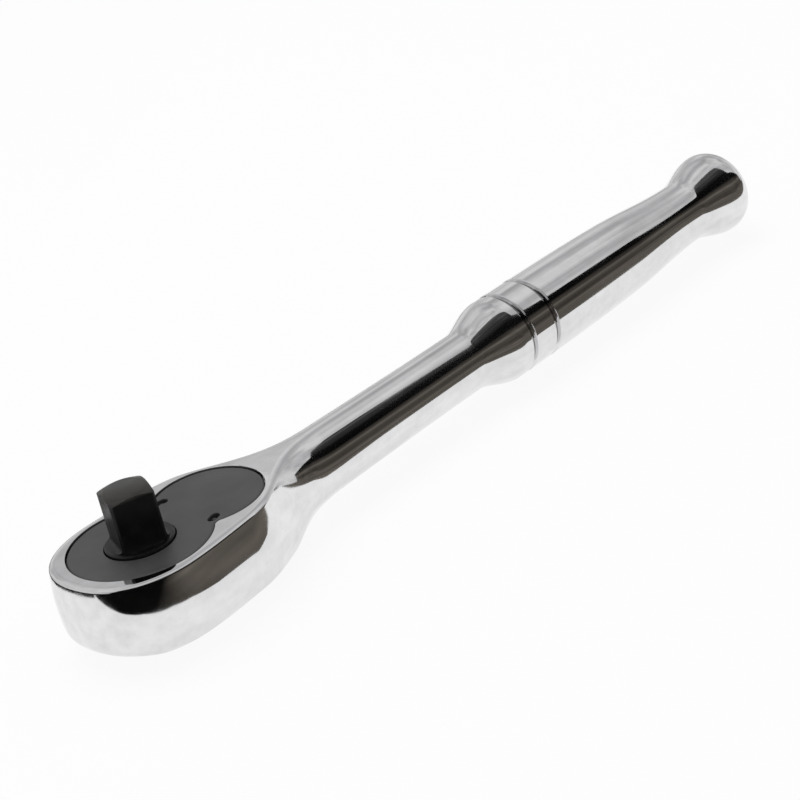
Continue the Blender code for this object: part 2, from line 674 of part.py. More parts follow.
def coil(turns, radius, length, wire_radius):
    """Points of a coil along +Z with straight ends, and the least gap between its turns."""
    count = turns * COIL_POINTS + 1
    angle = np.linspace(0.0, 2 * math.pi * turns, count)
    rise = np.linspace(wire_radius, length - wire_radius, count)
    points = np.column_stack([radius * np.cos(angle), radius * np.sin(angle), rise])
    apart = np.linalg.norm(points[:, None] - points[None], axis=-1)
    far_along = np.abs(np.subtract.outer(np.arange(count), np.arange(count))) > COIL_POINTS // 2
    return points, apart[far_along].min() - 2 * wire_radius


def make_release_spring():
    room = SPRING_SEAT_Z - FLANGE_TOP_Z - 2 * RUNNING_GAP
    radius = (STEM_BORE_RADIUS + BUTTON_BORE_RADIUS) / 2
    points, gap = coil(RELEASE_SPRING_TURNS, radius, room, RELEASE_SPRING_WIRE)
    print(f"release_spring: least gap between turns {gap / MM:.2f} mm")
    points[:, 2] += FLANGE_TOP_Z + RUNNING_GAP
    spring = wire("release_spring", points, RELEASE_SPRING_WIRE)
    return add_part(spring, finish("spring_steel", (0.50, 0.50, 0.51), 1.0, 0.30))


def open_ring(name, outer, inner, mouth, low, high):
    """A flat ring with a gap of the given angle towards +X."""
    start = mouth / 2
    end = 2 * math.pi - mouth / 2
    outline = np.concatenate(
        [
            arc((0.0, 0.0), outer, start, end, SMALL_ROUND_STEPS),
            arc((0.0, 0.0), inner, end, start, SMALL_ROUND_STEPS),
        ]
    )
    return plate(name, outline, low, high)


def make_release_ring():
    ring = open_ring(
        "release_ring",
        BUTTON_BORE_RADIUS + RELEASE_RING_DEPTH,
        BUTTON_RADIUS + RUNNING_GAP,
        RELEASE_RING_MOUTH,
        RELEASE_RING_BOTTOM_Z,
        RELEASE_RING_TOP_Z,
    )
    return add_part(ring, finish("clip_steel", (0.20, 0.20, 0.21), 1.0, 0.30))


def teardrop(large, small, distance):
    """A round hub at the origin and a smaller round tip along +X, joined by straight tangents."""
    lean = math.acos((large - small) / distance)
    return np.concatenate(
        [
            arc((0.0, 0.0), large, lean, 2 * math.pi - lean, SMALL_ROUND_STEPS),
            arc((distance, 0.0), small, -lean, lean, SMALL_ROUND_STEPS // 2),
        ]
    )


def make_reversing_lever():
    """Thumb lever on the back, with the post that carries the plunger through the pawl."""
    outline = teardrop(LEVER_HUB_RADIUS, LEVER_TIP_RADIUS, LEVER_REACH)
    lever = plate("reversing_lever", outline, LEVER_BOTTOM_Z, LEVER_TOP_Z)
    add_part(lever, finish("lever_chrome", (0.78, 0.78, 0.79), 1.0, 0.12))
    lever.location.x = PIVOT_DISTANCE
    edge = lever.modifiers.new("edge_round", "BEVEL")
    edge.width = LEVER_EDGE_ROUND
    edge.segments = 2
    edge.limit_method = "ANGLE"
    edge.angle_limit = math.radians(60.0)
    groove_radius = POST_RADIUS - POST_GROOVE_DEPTH
    post = turned(
        "post",
        [
            (0.0, GEAR_TOP_Z),
            (POST_RADIUS, GEAR_TOP_Z),
            (POST_RADIUS, CLIP_TOP_Z + RUNNING_GAP),
            (groove_radius, CLIP_TOP_Z + RUNNING_GAP),
            (groove_radius, CLIP_BOTTOM_Z - RUNNING_GAP),
            (POST_RADIUS, CLIP_BOTTOM_Z - RUNNING_GAP),
            (POST_RADIUS, LEVER_TOP_Z - CUT_MARGIN),
            (0.0, LEVER_TOP_Z - CUT_MARGIN),
        ],
    )
    depth = PLUNGER_LENGTH - PLUNGER_PROUD + PLUNGER_SPRING_ROOM
    plunger_bore = rod(
        "plunger_bore",
        PLUNGER_RADIUS + RUNNING_GAP,
        POST_RADIUS - depth,
        POST_RADIUS + CUT_MARGIN,
        SMALL_ROUND_STEPS,
    )
    plunger_bore.rotation_euler.y = math.pi / 2
    plunger_bore.location = (PIVOT_DISTANCE, 0.0, PLUNGER_Z)
    post.location.x = PIVOT_DISTANCE
    boolean(lever, add_cutter(post), "UNION")
    boolean(lever, add_cutter(plunger_bore))
    for index in range(LEVER_RIBS):
        rib = rod(f"thumb_groove_{index}", LEVER_RIB_RADIUS, -LEVER_HUB_RADIUS, LEVER_HUB_RADIUS, 12)
        rib.rotation_euler.x = math.pi / 2
        offset = (index - (LEVER_RIBS - 1) / 2) * LEVER_RIB_PITCH
        rib.location = (PIVOT_DISTANCE + LEVER_REACH + offset, 0.0, LEVER_BOTTOM_Z)
        boolean(lever, add_cutter(rib))
    return lever


def make_lever_clip():
    inner = POST_RADIUS - POST_GROOVE_DEPTH + RUNNING_GAP
    clip = open_ring("lever_clip", CLIP_RADIUS, inner, CLIP_MOUTH, CLIP_BOTTOM_Z, CLIP_TOP_Z)
    clip.location.x = PIVOT_DISTANCE
    return add_part(clip, finish("circlip_steel", (0.22, 0.22, 0.23), 1.0, 0.32))


def make_pawl():
    """Rocking pawl: a disc that turns in its round pocket, with toothed horns either side of the gear."""
    pawl = rod("pawl", PAWL_RADIUS, GEAR_BOTTOM_Z, GEAR_TOP_Z)
    add_part(pawl, finish("pawl_steel", (0.30, 0.30, 0.31), 1.0, 0.35))
    pawl.location.x = PIVOT_DISTANCE
    low = GEAR_BOTTOM_Z - CUT_MARGIN
    high = GEAR_TOP_Z + CUT_MARGIN
    clear = rod("gear_clearance", GEAR_TIP_RADIUS + PAWL_GAP, low, high, 2 * ROUND_STEPS)
    scallop = rod("pawl_scallop", PAWL_SCALLOP_RADIUS, low, high)
    scallop.location.x = PIVOT_DISTANCE - PAWL_SCALLOP_PLACE
    hole = rod("pawl_hole", POST_RADIUS + RUNNING_GAP, low, high)
    hole.location.x = PIVOT_DISTANCE
    cutters = [clear, scallop, hole]
    relative = LEVER_SWING - PAWL_SWING
    for side in (1, -1):
        word = "far" if side > 0 else "near"
        hollow = rod(f"hollow_{word}", HOLLOW_RADIUS, low, high, SMALL_ROUND_STEPS)
        hollow.location.x = PIVOT_DISTANCE + HOLLOW_PLACE * math.cos(relative)
        hollow.location.y = side * HOLLOW_PLACE * math.sin(relative)
        mesh_cut = plate(f"tooth_mesh_{word}", gear_outline(MESH_GAP), low, high)
        pivot = Matrix.Translation((PIVOT_DISTANCE, 0.0, 0.0))
        swing = Matrix.Rotation(-side * PAWL_SWING, 4, "Z")
        mesh_cut.matrix_world = pivot @ swing @ pivot.inverted()
        cutters += [hollow, mesh_cut]
    for cutter in cutters:
        boolean(pawl, add_cutter(cutter))
    return pawl


def make_pawl_plunger():
    """Round-nosed plunger in the post, pointing towards the handle at rest."""
    turn = np.linspace(math.pi / 2, 0.0, 5)
    nose = [(PLUNGER_RADIUS * math.cos(a), PLUNGER_RADIUS * (math.sin(a) - 1)) for a in turn]
    nose[0] = (0.0, 0.0)
    profile = nose + [(PLUNGER_RADIUS, -PLUNGER_LENGTH), (0.0, -PLUNGER_LENGTH)]
    plunger = turned("pawl_plunger", profile, SMALL_ROUND_STEPS)
    add_part(plunger, finish("plunger_steel", (0.45, 0.45, 0.46), 1.0, 0.25))
    plunger.rotation_euler.y = math.pi / 2
    plunger.location = (PIVOT_DISTANCE + POST_RADIUS + PLUNGER_PROUD, 0.0, PLUNGER_Z)
    return plunger


def make_plunger_spring():
    room = PLUNGER_SPRING_ROOM - 2 * RUNNING_GAP
    radius = PLUNGER_RADIUS - PLUNGER_SPRING_WIRE
    points, gap = coil(PLUNGER_SPRING_TURNS, radius, room, PLUNGER_SPRING_WIRE)
    print(f"plunger_spring: least gap between turns {gap / MM:.2f} mm")
    spring = wire("plunger_spring", points, PLUNGER_SPRING_WIRE)
    add_part(spring, finish("fine_spring_steel", (0.52, 0.52, 0.53), 1.0, 0.30))
    seat = POST_RADIUS + PLUNGER_PROUD - PLUNGER_LENGTH - PLUNGER_SPRING_ROOM + RUNNING_GAP
    spring.rotation_euler.y = math.pi / 2
    spring.location = (PIVOT_DISTANCE + seat, 0.0, PLUNGER_Z)
    return spring


def main():
    make_body()
    make_cover_plate()
    make_retaining_ring()
    make_drive_gear()
    make_detent_ball()
    make_release_pin()
    make_release_spring()
    make_release_ring()
    make_reversing_lever()
    make_lever_clip()
    make_pawl()
    make_pawl_plunger()
    make_plunger_spring()


main()
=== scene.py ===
"""Looks of the ratchet wrench: a polished forging, a dark plate and a blackened drive on a pale stage."""

import math

import bmesh
import bpy
import numpy as np
from mathutils import Matrix
from mathutils import Vector
from mathutils.geometry import tessellate_polygon


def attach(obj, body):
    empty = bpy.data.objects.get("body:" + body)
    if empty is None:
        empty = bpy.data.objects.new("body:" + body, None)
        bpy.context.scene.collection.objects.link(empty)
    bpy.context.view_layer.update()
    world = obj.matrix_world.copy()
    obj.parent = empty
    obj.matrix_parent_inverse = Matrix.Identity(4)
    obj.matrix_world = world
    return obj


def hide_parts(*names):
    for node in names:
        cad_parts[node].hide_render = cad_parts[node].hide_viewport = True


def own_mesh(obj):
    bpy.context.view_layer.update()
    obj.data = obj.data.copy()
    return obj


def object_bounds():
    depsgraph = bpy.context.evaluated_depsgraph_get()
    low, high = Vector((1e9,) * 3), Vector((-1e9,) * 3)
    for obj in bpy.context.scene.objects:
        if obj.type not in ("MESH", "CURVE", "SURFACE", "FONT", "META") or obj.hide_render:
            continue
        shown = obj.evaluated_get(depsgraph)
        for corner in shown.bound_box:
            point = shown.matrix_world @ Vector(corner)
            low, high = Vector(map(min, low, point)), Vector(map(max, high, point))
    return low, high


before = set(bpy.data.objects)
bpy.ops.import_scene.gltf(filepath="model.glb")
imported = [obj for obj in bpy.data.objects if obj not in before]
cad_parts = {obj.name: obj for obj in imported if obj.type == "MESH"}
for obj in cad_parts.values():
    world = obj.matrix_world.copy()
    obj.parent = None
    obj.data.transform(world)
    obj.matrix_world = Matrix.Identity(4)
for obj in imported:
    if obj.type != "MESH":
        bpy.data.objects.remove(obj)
CAD_BOX = [[float(value) for value in corner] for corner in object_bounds()]

bl_info = {
    "name": "Ratchet Wrench",
    "version": (1, 0, 0),
    "blender": (4, 5, 0),
    "location": "View3D > Sidebar > Wrench",
    "description": "Builds the visible pieces of a ratchet wrench and its stage",
    "category": "Object",
}

MM = 0.001
WELD = 1e-7
MERGE = 10 * WELD
FLAT_MARGIN = 0.05 * MM
CENTRE = (0.0, 0.0)
MIRROR = np.array([1.0, -1.0, 1.0])
RIGHT_ANGLE = math.pi / 2
SHARP = math.radians(30.0)
NODE_SHARP = math.radians(32.0)
WHITE = (1.0, 1.0, 1.0)
NOTHING = (0.0, 0.0, 0.0)
NOSE_POWER = 2.25
NECK_SLOPE = -0.10
SHANK_SLOPE = -0.012
GRIP_SLOPE = -0.04
BLEND_MIX = 0.4
NOISE_MIDDLE = (0.3, 0.7)
# From a ring groove, the span over which its painted shade fades out.
GROOVE_SHADE_SPAN = (0.2 * MM, 0.65 * MM)
SHOULDER_STEPS = 14
HUB_STEPS = 96
POST_STEPS = 64
PLATE_BORE_STEPS = 160
GEAR_HUB_STEPS = 120
STEM_BORE_STEPS = 72
BALL_BORE_STEPS = 48


def length(name, description, millimetres):
    """A length property given in millimetres."""
    return bpy.props.FloatProperty(
        name=name, description=description, default=millimetres * MM, unit="LENGTH", precision=5
    )


def angle_of(name, description, degrees):
    """An angle property given in degrees."""
    return bpy.props.FloatProperty(
        name=name, description=description, default=math.radians(degrees), subtype="ANGLE"
    )


def colour(name, description, value):
    """A linear colour property."""
    return bpy.props.FloatVectorProperty(
        name=name, description=description, default=value, subtype="COLOR", size=3, min=0.0, max=1.0
    )


class WrenchForging(bpy.types.PropertyGroup):
    """Sizes of the one-piece head, shank and grip."""

    reach: length("Drive reach", "From the head's face to the end of the square", 12.1)
    thickness: length("Head thickness", "Thickness of the head", 16.6)
    front: length("Head front", "From the drive axis to the nose at mid thickness", 19.45)
    half_width: length("Head half width", "Half width across the drive axis", 18.0)
    bulge: length("Side bulge", "How far the side draws in at the two faces", 0.85)
    face_edge: length("Face edge", "Height of the soft edge where the side meets the drive face", 0.6)
    face_run: length("Face run", "How far that edge reaches in over the drive face", 1.6)
    nose_back_round: length("Nose back round", "Round between nose and back", 3.6)
    side_back_round: length("Side back round", "Round between side and back", 1.6)
    back_round_fade: length("Back round fade", "Length over which one round turns into the other", 9.0)
    neck_start: length("Neck start", "Where the sides start to draw in", 15.0)
    neck_half_width: length("Neck half width", "Half width at the start of the neck", 16.9)
    blend_start: length("Blend start", "Where the section starts to turn round", 21.0)
    back_blend_start: length("Back blend start", "The same on the back", 28.0)
    blend_end: length("Blend end", "Where the section is fully round", 50.0)
    shank_start: length("Shank start", "Start of the shank", 44.0)
    shank_radius: length("Shank radius", "Shank radius at the neck", 7.65)
    shank_end: length("Shank end", "End of the shank", 95.5)
    shank_end_radius: length("Shank end radius", "Shank radius at the grip", 7.0)
    grip_start: length("Grip start", "Where the grip reaches its full radius", 107.0)
    grip_radius: length("Grip radius", "Largest radius of the grip", 9.88)
    grip_middle: length("Grip middle", "Where the grip starts to narrow faster", 150.0)
    grip_middle_radius: length("Grip middle radius", "Radius there", 9.15)
    waist: length("Waist", "Where the grip is narrowest", 175.5)
    waist_radius: length("Waist radius", "Radius there", 7.4)
    bulb: length("Bulb", "Where the end bulb is widest", 187.5)
    bulb_radius: length("Bulb radius", "Radius there", 10.05)
    end: length("Handle end", "End of the handle", 192.9)
    end_radius: length("End radius", "Radius of the small flat at the end", 5.0)
    groove_first: length("First groove", "Middle of the groove nearer the head", 109.6)
    groove_second: length("Second groove", "Middle of the groove nearer the end", 117.6)
    groove_width: length("Groove width", "Width of each ring groove", 1.7)
    groove_depth: length("Groove depth", "Depth of each ring groove", 0.7)
    groove_flank: length("Groove flank", "Length of a groove's sloping side", 0.32)


class WrenchPocket(bpy.types.PropertyGroup):
    """Sizes of the machined pocket in the head."""

    pivot: length("Pivot distance", "From the drive axis to the lever's axis", 18.7)
    large: length("Large radius", "Plate radius round the drive", 15.25)
    small: length("Small radius", "Plate radius round the lever", 12.1)
    notch: length("Notch radius", "Fillet between the two round ends", 1.8)
    gap: length("Gap", "Clearance round the plate", 0.2)
    ledge: length("Ledge", "Width of the ledge under the plate", 1.35)
    ledge_depth: length("Ledge depth", "From the head's face to the ledge", 3.2)
    floor_depth: length("Floor depth", "From the head's face to the pocket's floor", 12.9)
    hub: length("Hub bore", "Radius of the bore for the gear's hub", 7.2)
    post: length("Post bore", "Radius of the bore for the lever's post", 4.4)
    clip: length("Clip seat", "Radius of the seat for the lever's ring", 6.1)
    clip_depth: length("Clip depth", "From the head's face to that seat", 14.2)


class WrenchCover(bpy.types.PropertyGroup):
    """Sizes of the dark plate let into the head."""

    sunk: length("Sunk", "From the head's face down to the plate's top", 0.1)
    thickness: length("Thickness", "Thickness of the plate", 2.8)
    edge: length("Edge round", "Round along the plate's edges", 0.7)
    bore: length("Bore", "Radius of the bore round the drive's boss", 7.5)
    chamfer: length("Chamfer", "Small chamfer round the bore and the slots", 0.12)
    slot_length: length("Slot length", "Length of the two slots", 3.2)
    slot_width: length("Slot width", "Width of the two slots", 1.9)
    slot_lean: angle_of("Slot lean", "Angle between a slot and the handle", 15.0)
    ring: length("Ring radius", "Radius of the retaining ring's wire circle", 15.35)
    ring_angle: angle_of("Ring end angle", "Angle from the handle to an end of the retaining ring", 32.0)
    groove: length("Groove radius", "Radius of the groove that takes the ring", 0.75)


class WrenchDrive(bpy.types.PropertyGroup):
    """Sizes of the square drive and its gear."""

    square: length("Square", "Width across the flats", 9.5)
    corner: length("Corner radius", "Radius of the rounded corners about the drive axis", 6.4)
    end: length("End radius", "Radius of the flat at the end", 4.2)
    end_slope: length("End slope", "Height of the sloping end", 0.9)
    fillet: length("Fillet", "Fillet at the foot of the flats", 1.2)
    turn: angle_of("Turn", "Angle from the handle to the flat with the ball", 66.7)
    boss: length("Boss radius", "Radius of the boss under the square", 7.3)
    boss_rise: length("Boss rise", "From the head's face up to the boss's top", 0.5)
    gear_top: length("Gear top", "Depth of the gear's top under the end of the square", 15.3)
    gear_bottom: length("Gear bottom", "Depth of the gear's underside", 24.7)
    hub: length("Hub radius", "Radius of the hub in the back wall", 7.0)
    hub_end: length("Hub end", "Depth of the hub's end", 28.4)
    teeth: bpy.props.IntProperty(name="Teeth", description="Number of teeth", default=36)
    tip: length("Tip radius", "Radius over the teeth", 13.4)
    tooth_depth: length("Tooth depth", "Depth of the teeth", 1.25)
    tip_flat: length("Tip flat", "Width of a tooth's flat tip", 0.45)
    root_flat: length("Root flat", "Width of the flat between teeth", 0.5)
    end_wall: length("End wall", "Depth of the stem bore's end", 1.5)
    stem_bore: length("Stem bore", "Radius of the bore for the button's stem", 2.0)
    spring_seat: length("Spring seat", "Depth of the step that the release spring rests on", 18.3)
    button_bore: length("Button bore", "Radius of the bore for the button", 4.5)
    ring_bore: length("Ring groove", "Radius of the groove for the button's ring", 5.2)
    ring_top: length("Ring groove top", "Depth of that groove's upper side", 27.1)
    ring_bottom: length("Ring groove bottom", "Depth of that groove's lower side", 28.1)
    ball_depth: length("Ball depth", "Depth of the ball's middle under the end", 5.7)
    ball_mouth: length("Ball mouth", "Radius of the hole that the ball shows through", 1.51)
    ball_seat: length("Ball seat", "Radius of the ball's bore under its mouth", 1.8)
    ball_lip: length("Ball lip", "Thickness of the lip that keeps the ball in", 0.3)


class WrenchFinishes(bpy.types.PropertyGroup):
    """Colours of the finishes."""

    chrome: colour("Chrome", "Polished plating", (0.80, 0.80, 0.81))
    plate: colour("Plate", "Dark satin of the cover plate", (0.072, 0.072, 0.073))
    black: colour("Black", "Blackened steel of the drive", (0.007, 0.007, 0.007))
    # At 2.4 times, this colour also lightens the drive's edges: wear together with a painted highlight.
    worn: colour("Worn black", "Rubbed end and edges of the drive", (0.030, 0.028, 0.026))
    steel: colour("Steel", "Hardened steel inside the head", (0.30, 0.30, 0.31))
    bright: colour("Bright", "Ground steel of the button and the ball", (0.58, 0.58, 0.59))


class WrenchStage(bpy.types.PropertyGroup):
    """Camera, floor and the cards that the metal reflects."""

    lens: bpy.props.FloatProperty(name="Lens", description="Focal length", default=119.49, unit="CAMERA")
    floor: colour("Floor", "Pale floor", (0.9, 0.9, 0.9))
    cove: length("Cove radius", "From the handle's line to the dark card", 350.0)
    card_dark: colour("Dark card", "Upper part of the dark card", (0.003, 0.003, 0.003))
    card_warm: colour("Warm card", "Lower part of the dark card", (0.115, 0.105, 0.092))
    sky: bpy.props.FloatProperty(
        name="Sky", description="Strength of the soft light from all round", default=0.72
    )


def hermite(x, knots):
    """A smooth curve through (place, value, slope) knots: cubic Hermite pieces."""
    places, values, slopes = (np.array(column) for column in zip(*knots))
    span = np.clip(np.searchsorted(places, x, side="right") - 1, 0, len(places) - 2)
    step = places[span + 1] - places[span]
    t = (x - places[span]) / step
    start = (1 + 2 * t) * (1 - t) ** 2 * values[span] + t * (1 - t) ** 2 * step * slopes[span]
    end = t * t * (3 - 2 * t) * values[span + 1] + t * t * (t - 1) * step * slopes[span + 1]
    return start + end


def smooth_step(value):
    value = np.clip(value, 0.0, 1.0)
    return value * value * (3 - 2 * value)


def arc(centre, radius, start, end, count):
    """Points of an arc: centre + radius (cos a, sin a)."""
    angles = np.linspace(start, end, count)
    return np.column_stack([centre[0] + radius * np.cos(angles), centre[1] + radius * np.sin(angles)])


def circle(centre, radius, count):
    return arc(centre, radius, 0.0, 2 * math.pi, count + 1)[:-1]


def figure_eight(pocket, growth=0.0, steps=160):
    """Two arcs joined by a fillet tangent to both on each side, offset outwards by growth."""
    large = pocket.large + growth
    small = pocket.small + growth
    notch = pocket.notch - growth
    reach = large + notch
    notch_x = (reach**2 - (small + notch) ** 2 + pocket.pivot**2) / (2 * pocket.pivot)
    notch_y = math.sqrt(reach**2 - notch_x**2)
    large_angle = math.atan2(notch_y, notch_x)
    small_angle = math.atan2(notch_y, notch_x - pocket.pivot)
    to_large = math.atan2(notch_y, -notch_x)
    to_small = math.atan2(notch_y, pocket.pivot - notch_x)
    return np.concatenate(
        [
            arc(CENTRE, large, large_angle, 2 * math.pi - large_angle, steps),
            arc((notch_x, -notch_y), notch, to_large, to_small, SHOULDER_STEPS)[1:-1],
            arc((pocket.pivot, 0.0), small, -small_angle, small_angle, steps * 2 // 3),
            arc((notch_x, notch_y), notch, -to_small, -to_large, SHOULDER_STEPS)[1:-1],
        ]
    )


def handle_radius(x, size):
    """Half width along the tool: Hermite pieces, less the two ring grooves with smooth flanks."""
    knots = (
        (0.0, size.half_width, 0.0),
        (size.neck_start, size.neck_half_width, NECK_SLOPE),
        (size.shank_start, size.shank_radius, SHANK_SLOPE),
        (size.shank_end, size.shank_end_radius, 0.0),
        (size.grip_start, size.grip_radius, 0.0),
        (size.grip_middle, size.grip_middle_radius, GRIP_SLOPE),
        (size.waist, size.waist_radius, 0.0),
        (size.bulb, size.bulb_radius, 0.0),
    )
    radius = hermite(x, knots)
    for place in (size.groove_first, size.groove_second):
        inside = (size.groove_width / 2 - np.abs(x - place)) / size.groove_flank
        radius = radius - size.groove_depth * smooth_step(inside)
    return radius


def forging_grid(size, side_steps=34):
    """Half of the forging as rows of points from nose to end, each running from face to back.

    The nose is a superellipse and its side draws in along the outline's normal by
    bulge * level squared plus the two edge rounds. Along the neck the section blends into
    half width * (1 - cos), height * sin, which is the round shank.
    """
    turn = np.linspace(0.0, RIGHT_ANGLE, 111)
    power = NOSE_POWER
    nose_x = -size.front * np.cos(turn) ** (2 / power)
    nose_x[-1] = 0.0
    nose_y = size.half_width * np.sin(turn) ** (2 / power)
    normal = np.column_stack(
        [
            -((np.abs(nose_x) / size.front) ** (power - 1)) / size.front,
            (nose_y / size.half_width) ** (power - 1) / size.half_width,
        ]
    )
    normal /= np.linalg.norm(normal, axis=1)[:, None]
    grooves = np.concatenate(
        [
            place + np.linspace(-0.6, 0.6, 33) * size.groove_width
            for place in (size.groove_first, size.groove_second)
        ]
    )
    spans = (
        (0.0, size.blend_end, 141),
        (size.blend_end, size.shank_end, 41),
        (size.shank_end, size.grip_start, 49),
        (size.grip_start, size.grip_middle, 41),
        (size.grip_middle, size.waist, 49),
        (size.waist, size.bulb, 45),
    )
    along = np.concatenate([*(np.linspace(*span)[1:] for span in spans), grooves])
    along = np.unique(np.round(along, 7))
    round_turn = np.linspace(0.0, RIGHT_ANGLE, 29)[1:]
    end_x = size.bulb + (size.end - size.bulb) * np.sin(round_turn)
    end_r = size.end_radius + (size.bulb_radius - size.end_radius) * np.cos(round_turn)
    place = np.concatenate([nose_x, along, end_x])
    width = np.concatenate([nose_y, handle_radius(along, size), end_r])
    straight = np.tile([0.0, 1.0], (len(along) + len(end_x), 1))
    out = np.concatenate([normal, straight])
    half = size.thickness / 2
    even = np.sin(np.linspace(RIGHT_ANGLE, -RIGHT_ANGLE, 2 * side_steps + 1))
    edge = 1 - size.face_edge / half * (1 - np.sin(np.linspace(0.0, RIGHT_ANGLE, 11)))
    level = np.unique(np.round(np.concatenate([even, edge]), 6))[::-1]
    face_blend = smooth_step((place - size.blend_start) / (size.blend_end - size.blend_start))
    back_blend = smooth_step((place - size.back_blend_start) / (size.blend_end - size.back_blend_start))
    backward = smooth_step((BLEND_MIX - level) / (2 * BLEND_MIX))
    blend = face_blend[:, None] * (1 - backward) + back_blend[:, None] * backward
    round_height = np.where(place < size.shank_start, size.shank_radius, width)
    height = (1 - blend) * half + blend * round_height[:, None]
    along_nose = smooth_step((place + size.front) / size.back_round_fade)[:, None]
    back_edge = size.nose_back_round + (size.side_back_round - size.nose_back_round) * along_nose
    head = size.bulge * level**2 + edge_round(level * half, half, size.face_edge, size.face_run)
    head = head + edge_round(-level * half, half, back_edge, back_edge)
    cosine = np.sqrt(np.maximum(1 - level**2, 0.0))
    inset = (1 - blend) * head + blend * width[:, None] * (1 - cosine)
    inset = np.column_stack([inset[:, 0] + FLAT_MARGIN, inset, inset[:, -1] + FLAT_MARGIN])
    height = np.column_stack([height[:, 0], height, height[:, -1]])
    level = np.concatenate([level[:1], level, level[-1:]])
    x = place[:, None] - out[:, :1] * inset
    y = width[:, None] - out[:, 1:] * inset
    y = np.where(y < FLAT_MARGIN, 0.0, y)
    z = -size.reach - half + height * level
    return np.stack([x, y, z], axis=-1)


def edge_round(height, half, drop, run):
    """How far a quarter ellipse at the edge of a face draws the side in, at a height above the middle.

    With past the height beyond the ellipse's start: run * (1 - sqrt(1 - (past / drop) squared)).
    """
    past = np.maximum(height - (half - drop), 0.0)
    return run * (1 - np.sqrt(np.maximum(1 - (past / drop) ** 2, 0.0)))


class Shell:
    """Gathers grids, strips and flat fills, and welds them into one closed mesh."""

    def __init__(self):
        self.points = []
        self.faces = []
        self.count = 0

    def add(self, points, faces):
        self.points.append(np.asarray(points, float))
        self.faces += [tuple(int(i) + self.count for i in face) for face in faces]
        self.count += len(points)

    def grid(self, grid):
        """Quads between neighbouring rows and columns."""
        rows, columns = grid.shape[:2]
        index = np.arange(rows * columns).reshape(rows, columns)
        quads = np.stack([index[:-1, :-1], index[:-1, 1:], index[1:, 1:], index[1:, :-1]], axis=-1)
        self.add(grid.reshape(-1, 3), quads.reshape(-1, 4))

    def wall(self, loops):
        """Quads between closed loops with the same number of points."""
        grid = np.stack(loops)
        self.grid(np.concatenate([grid, grid[:, :1]], axis=1))

    def fill(self, loops):
        """A flat face bounded by the first loop, with the others as holes."""
        triangles = tessellate_polygon([[Vector(point) for point in loop] for loop in loops])
        self.add(np.concatenate(loops), triangles)

    def made(self, name, sharp_angle):
        """The welded mesh as an object at the origin."""
        mesh = bpy.data.meshes.new(name)
        mesh.from_pydata(np.concatenate(self.points), [], self.faces)
        return welded(name, mesh, sharp_angle)


def welded(name, mesh, sharp_angle):
    """Merges doubles, turns the faces outwards and shades the mesh smooth except at sharp edges."""
    builder = bmesh.new()
    builder.from_mesh(mesh)
    bmesh.ops.remove_doubles(builder, verts=builder.verts, dist=MERGE)
    bmesh.ops.dissolve_degenerate(builder, dist=WELD, edges=builder.edges)
    bmesh.ops.recalc_face_normals(builder, faces=builder.faces)
    builder.to_mesh(mesh)
    builder.free()
    mesh.shade_smooth()
    mesh.set_sharp_from_angle(angle=sharp_angle)
    made = bpy.data.objects.new(name, mesh)
    bpy.context.scene.collection.objects.link(made)
    return made


def at_height(outline, z):
    return np.column_stack([outline, np.full(len(outline), z)])


def turned(profile, count):
    """Loops round the drive axis from (radius, height) steps."""
    return [at_height(circle(CENTRE, radius, count), height) for radius, height in profile]


def settle(piece, body, slot, material, *nodes):
    """Gives a piece its finish, its body and the nodes it stands for."""
    piece.data.materials.clear()
    piece.data.materials.append(material)
    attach(piece, body)
    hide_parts(*nodes)
    return piece


def smoothed_node(node, body, slot, material, sharp_angle=NODE_SHARP):
    """A welded copy of a node, shaded smooth, in place of the node's loose triangles."""
    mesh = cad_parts[node].data.copy()
    shown = welded(f"{node}_shown", mesh, sharp_angle)
    even = shown.modifiers.new("even_shading", "WEIGHTED_NORMAL")
    even.keep_sharp = True
    even.weight = 100
    return settle(shown, body, slot, material, node)


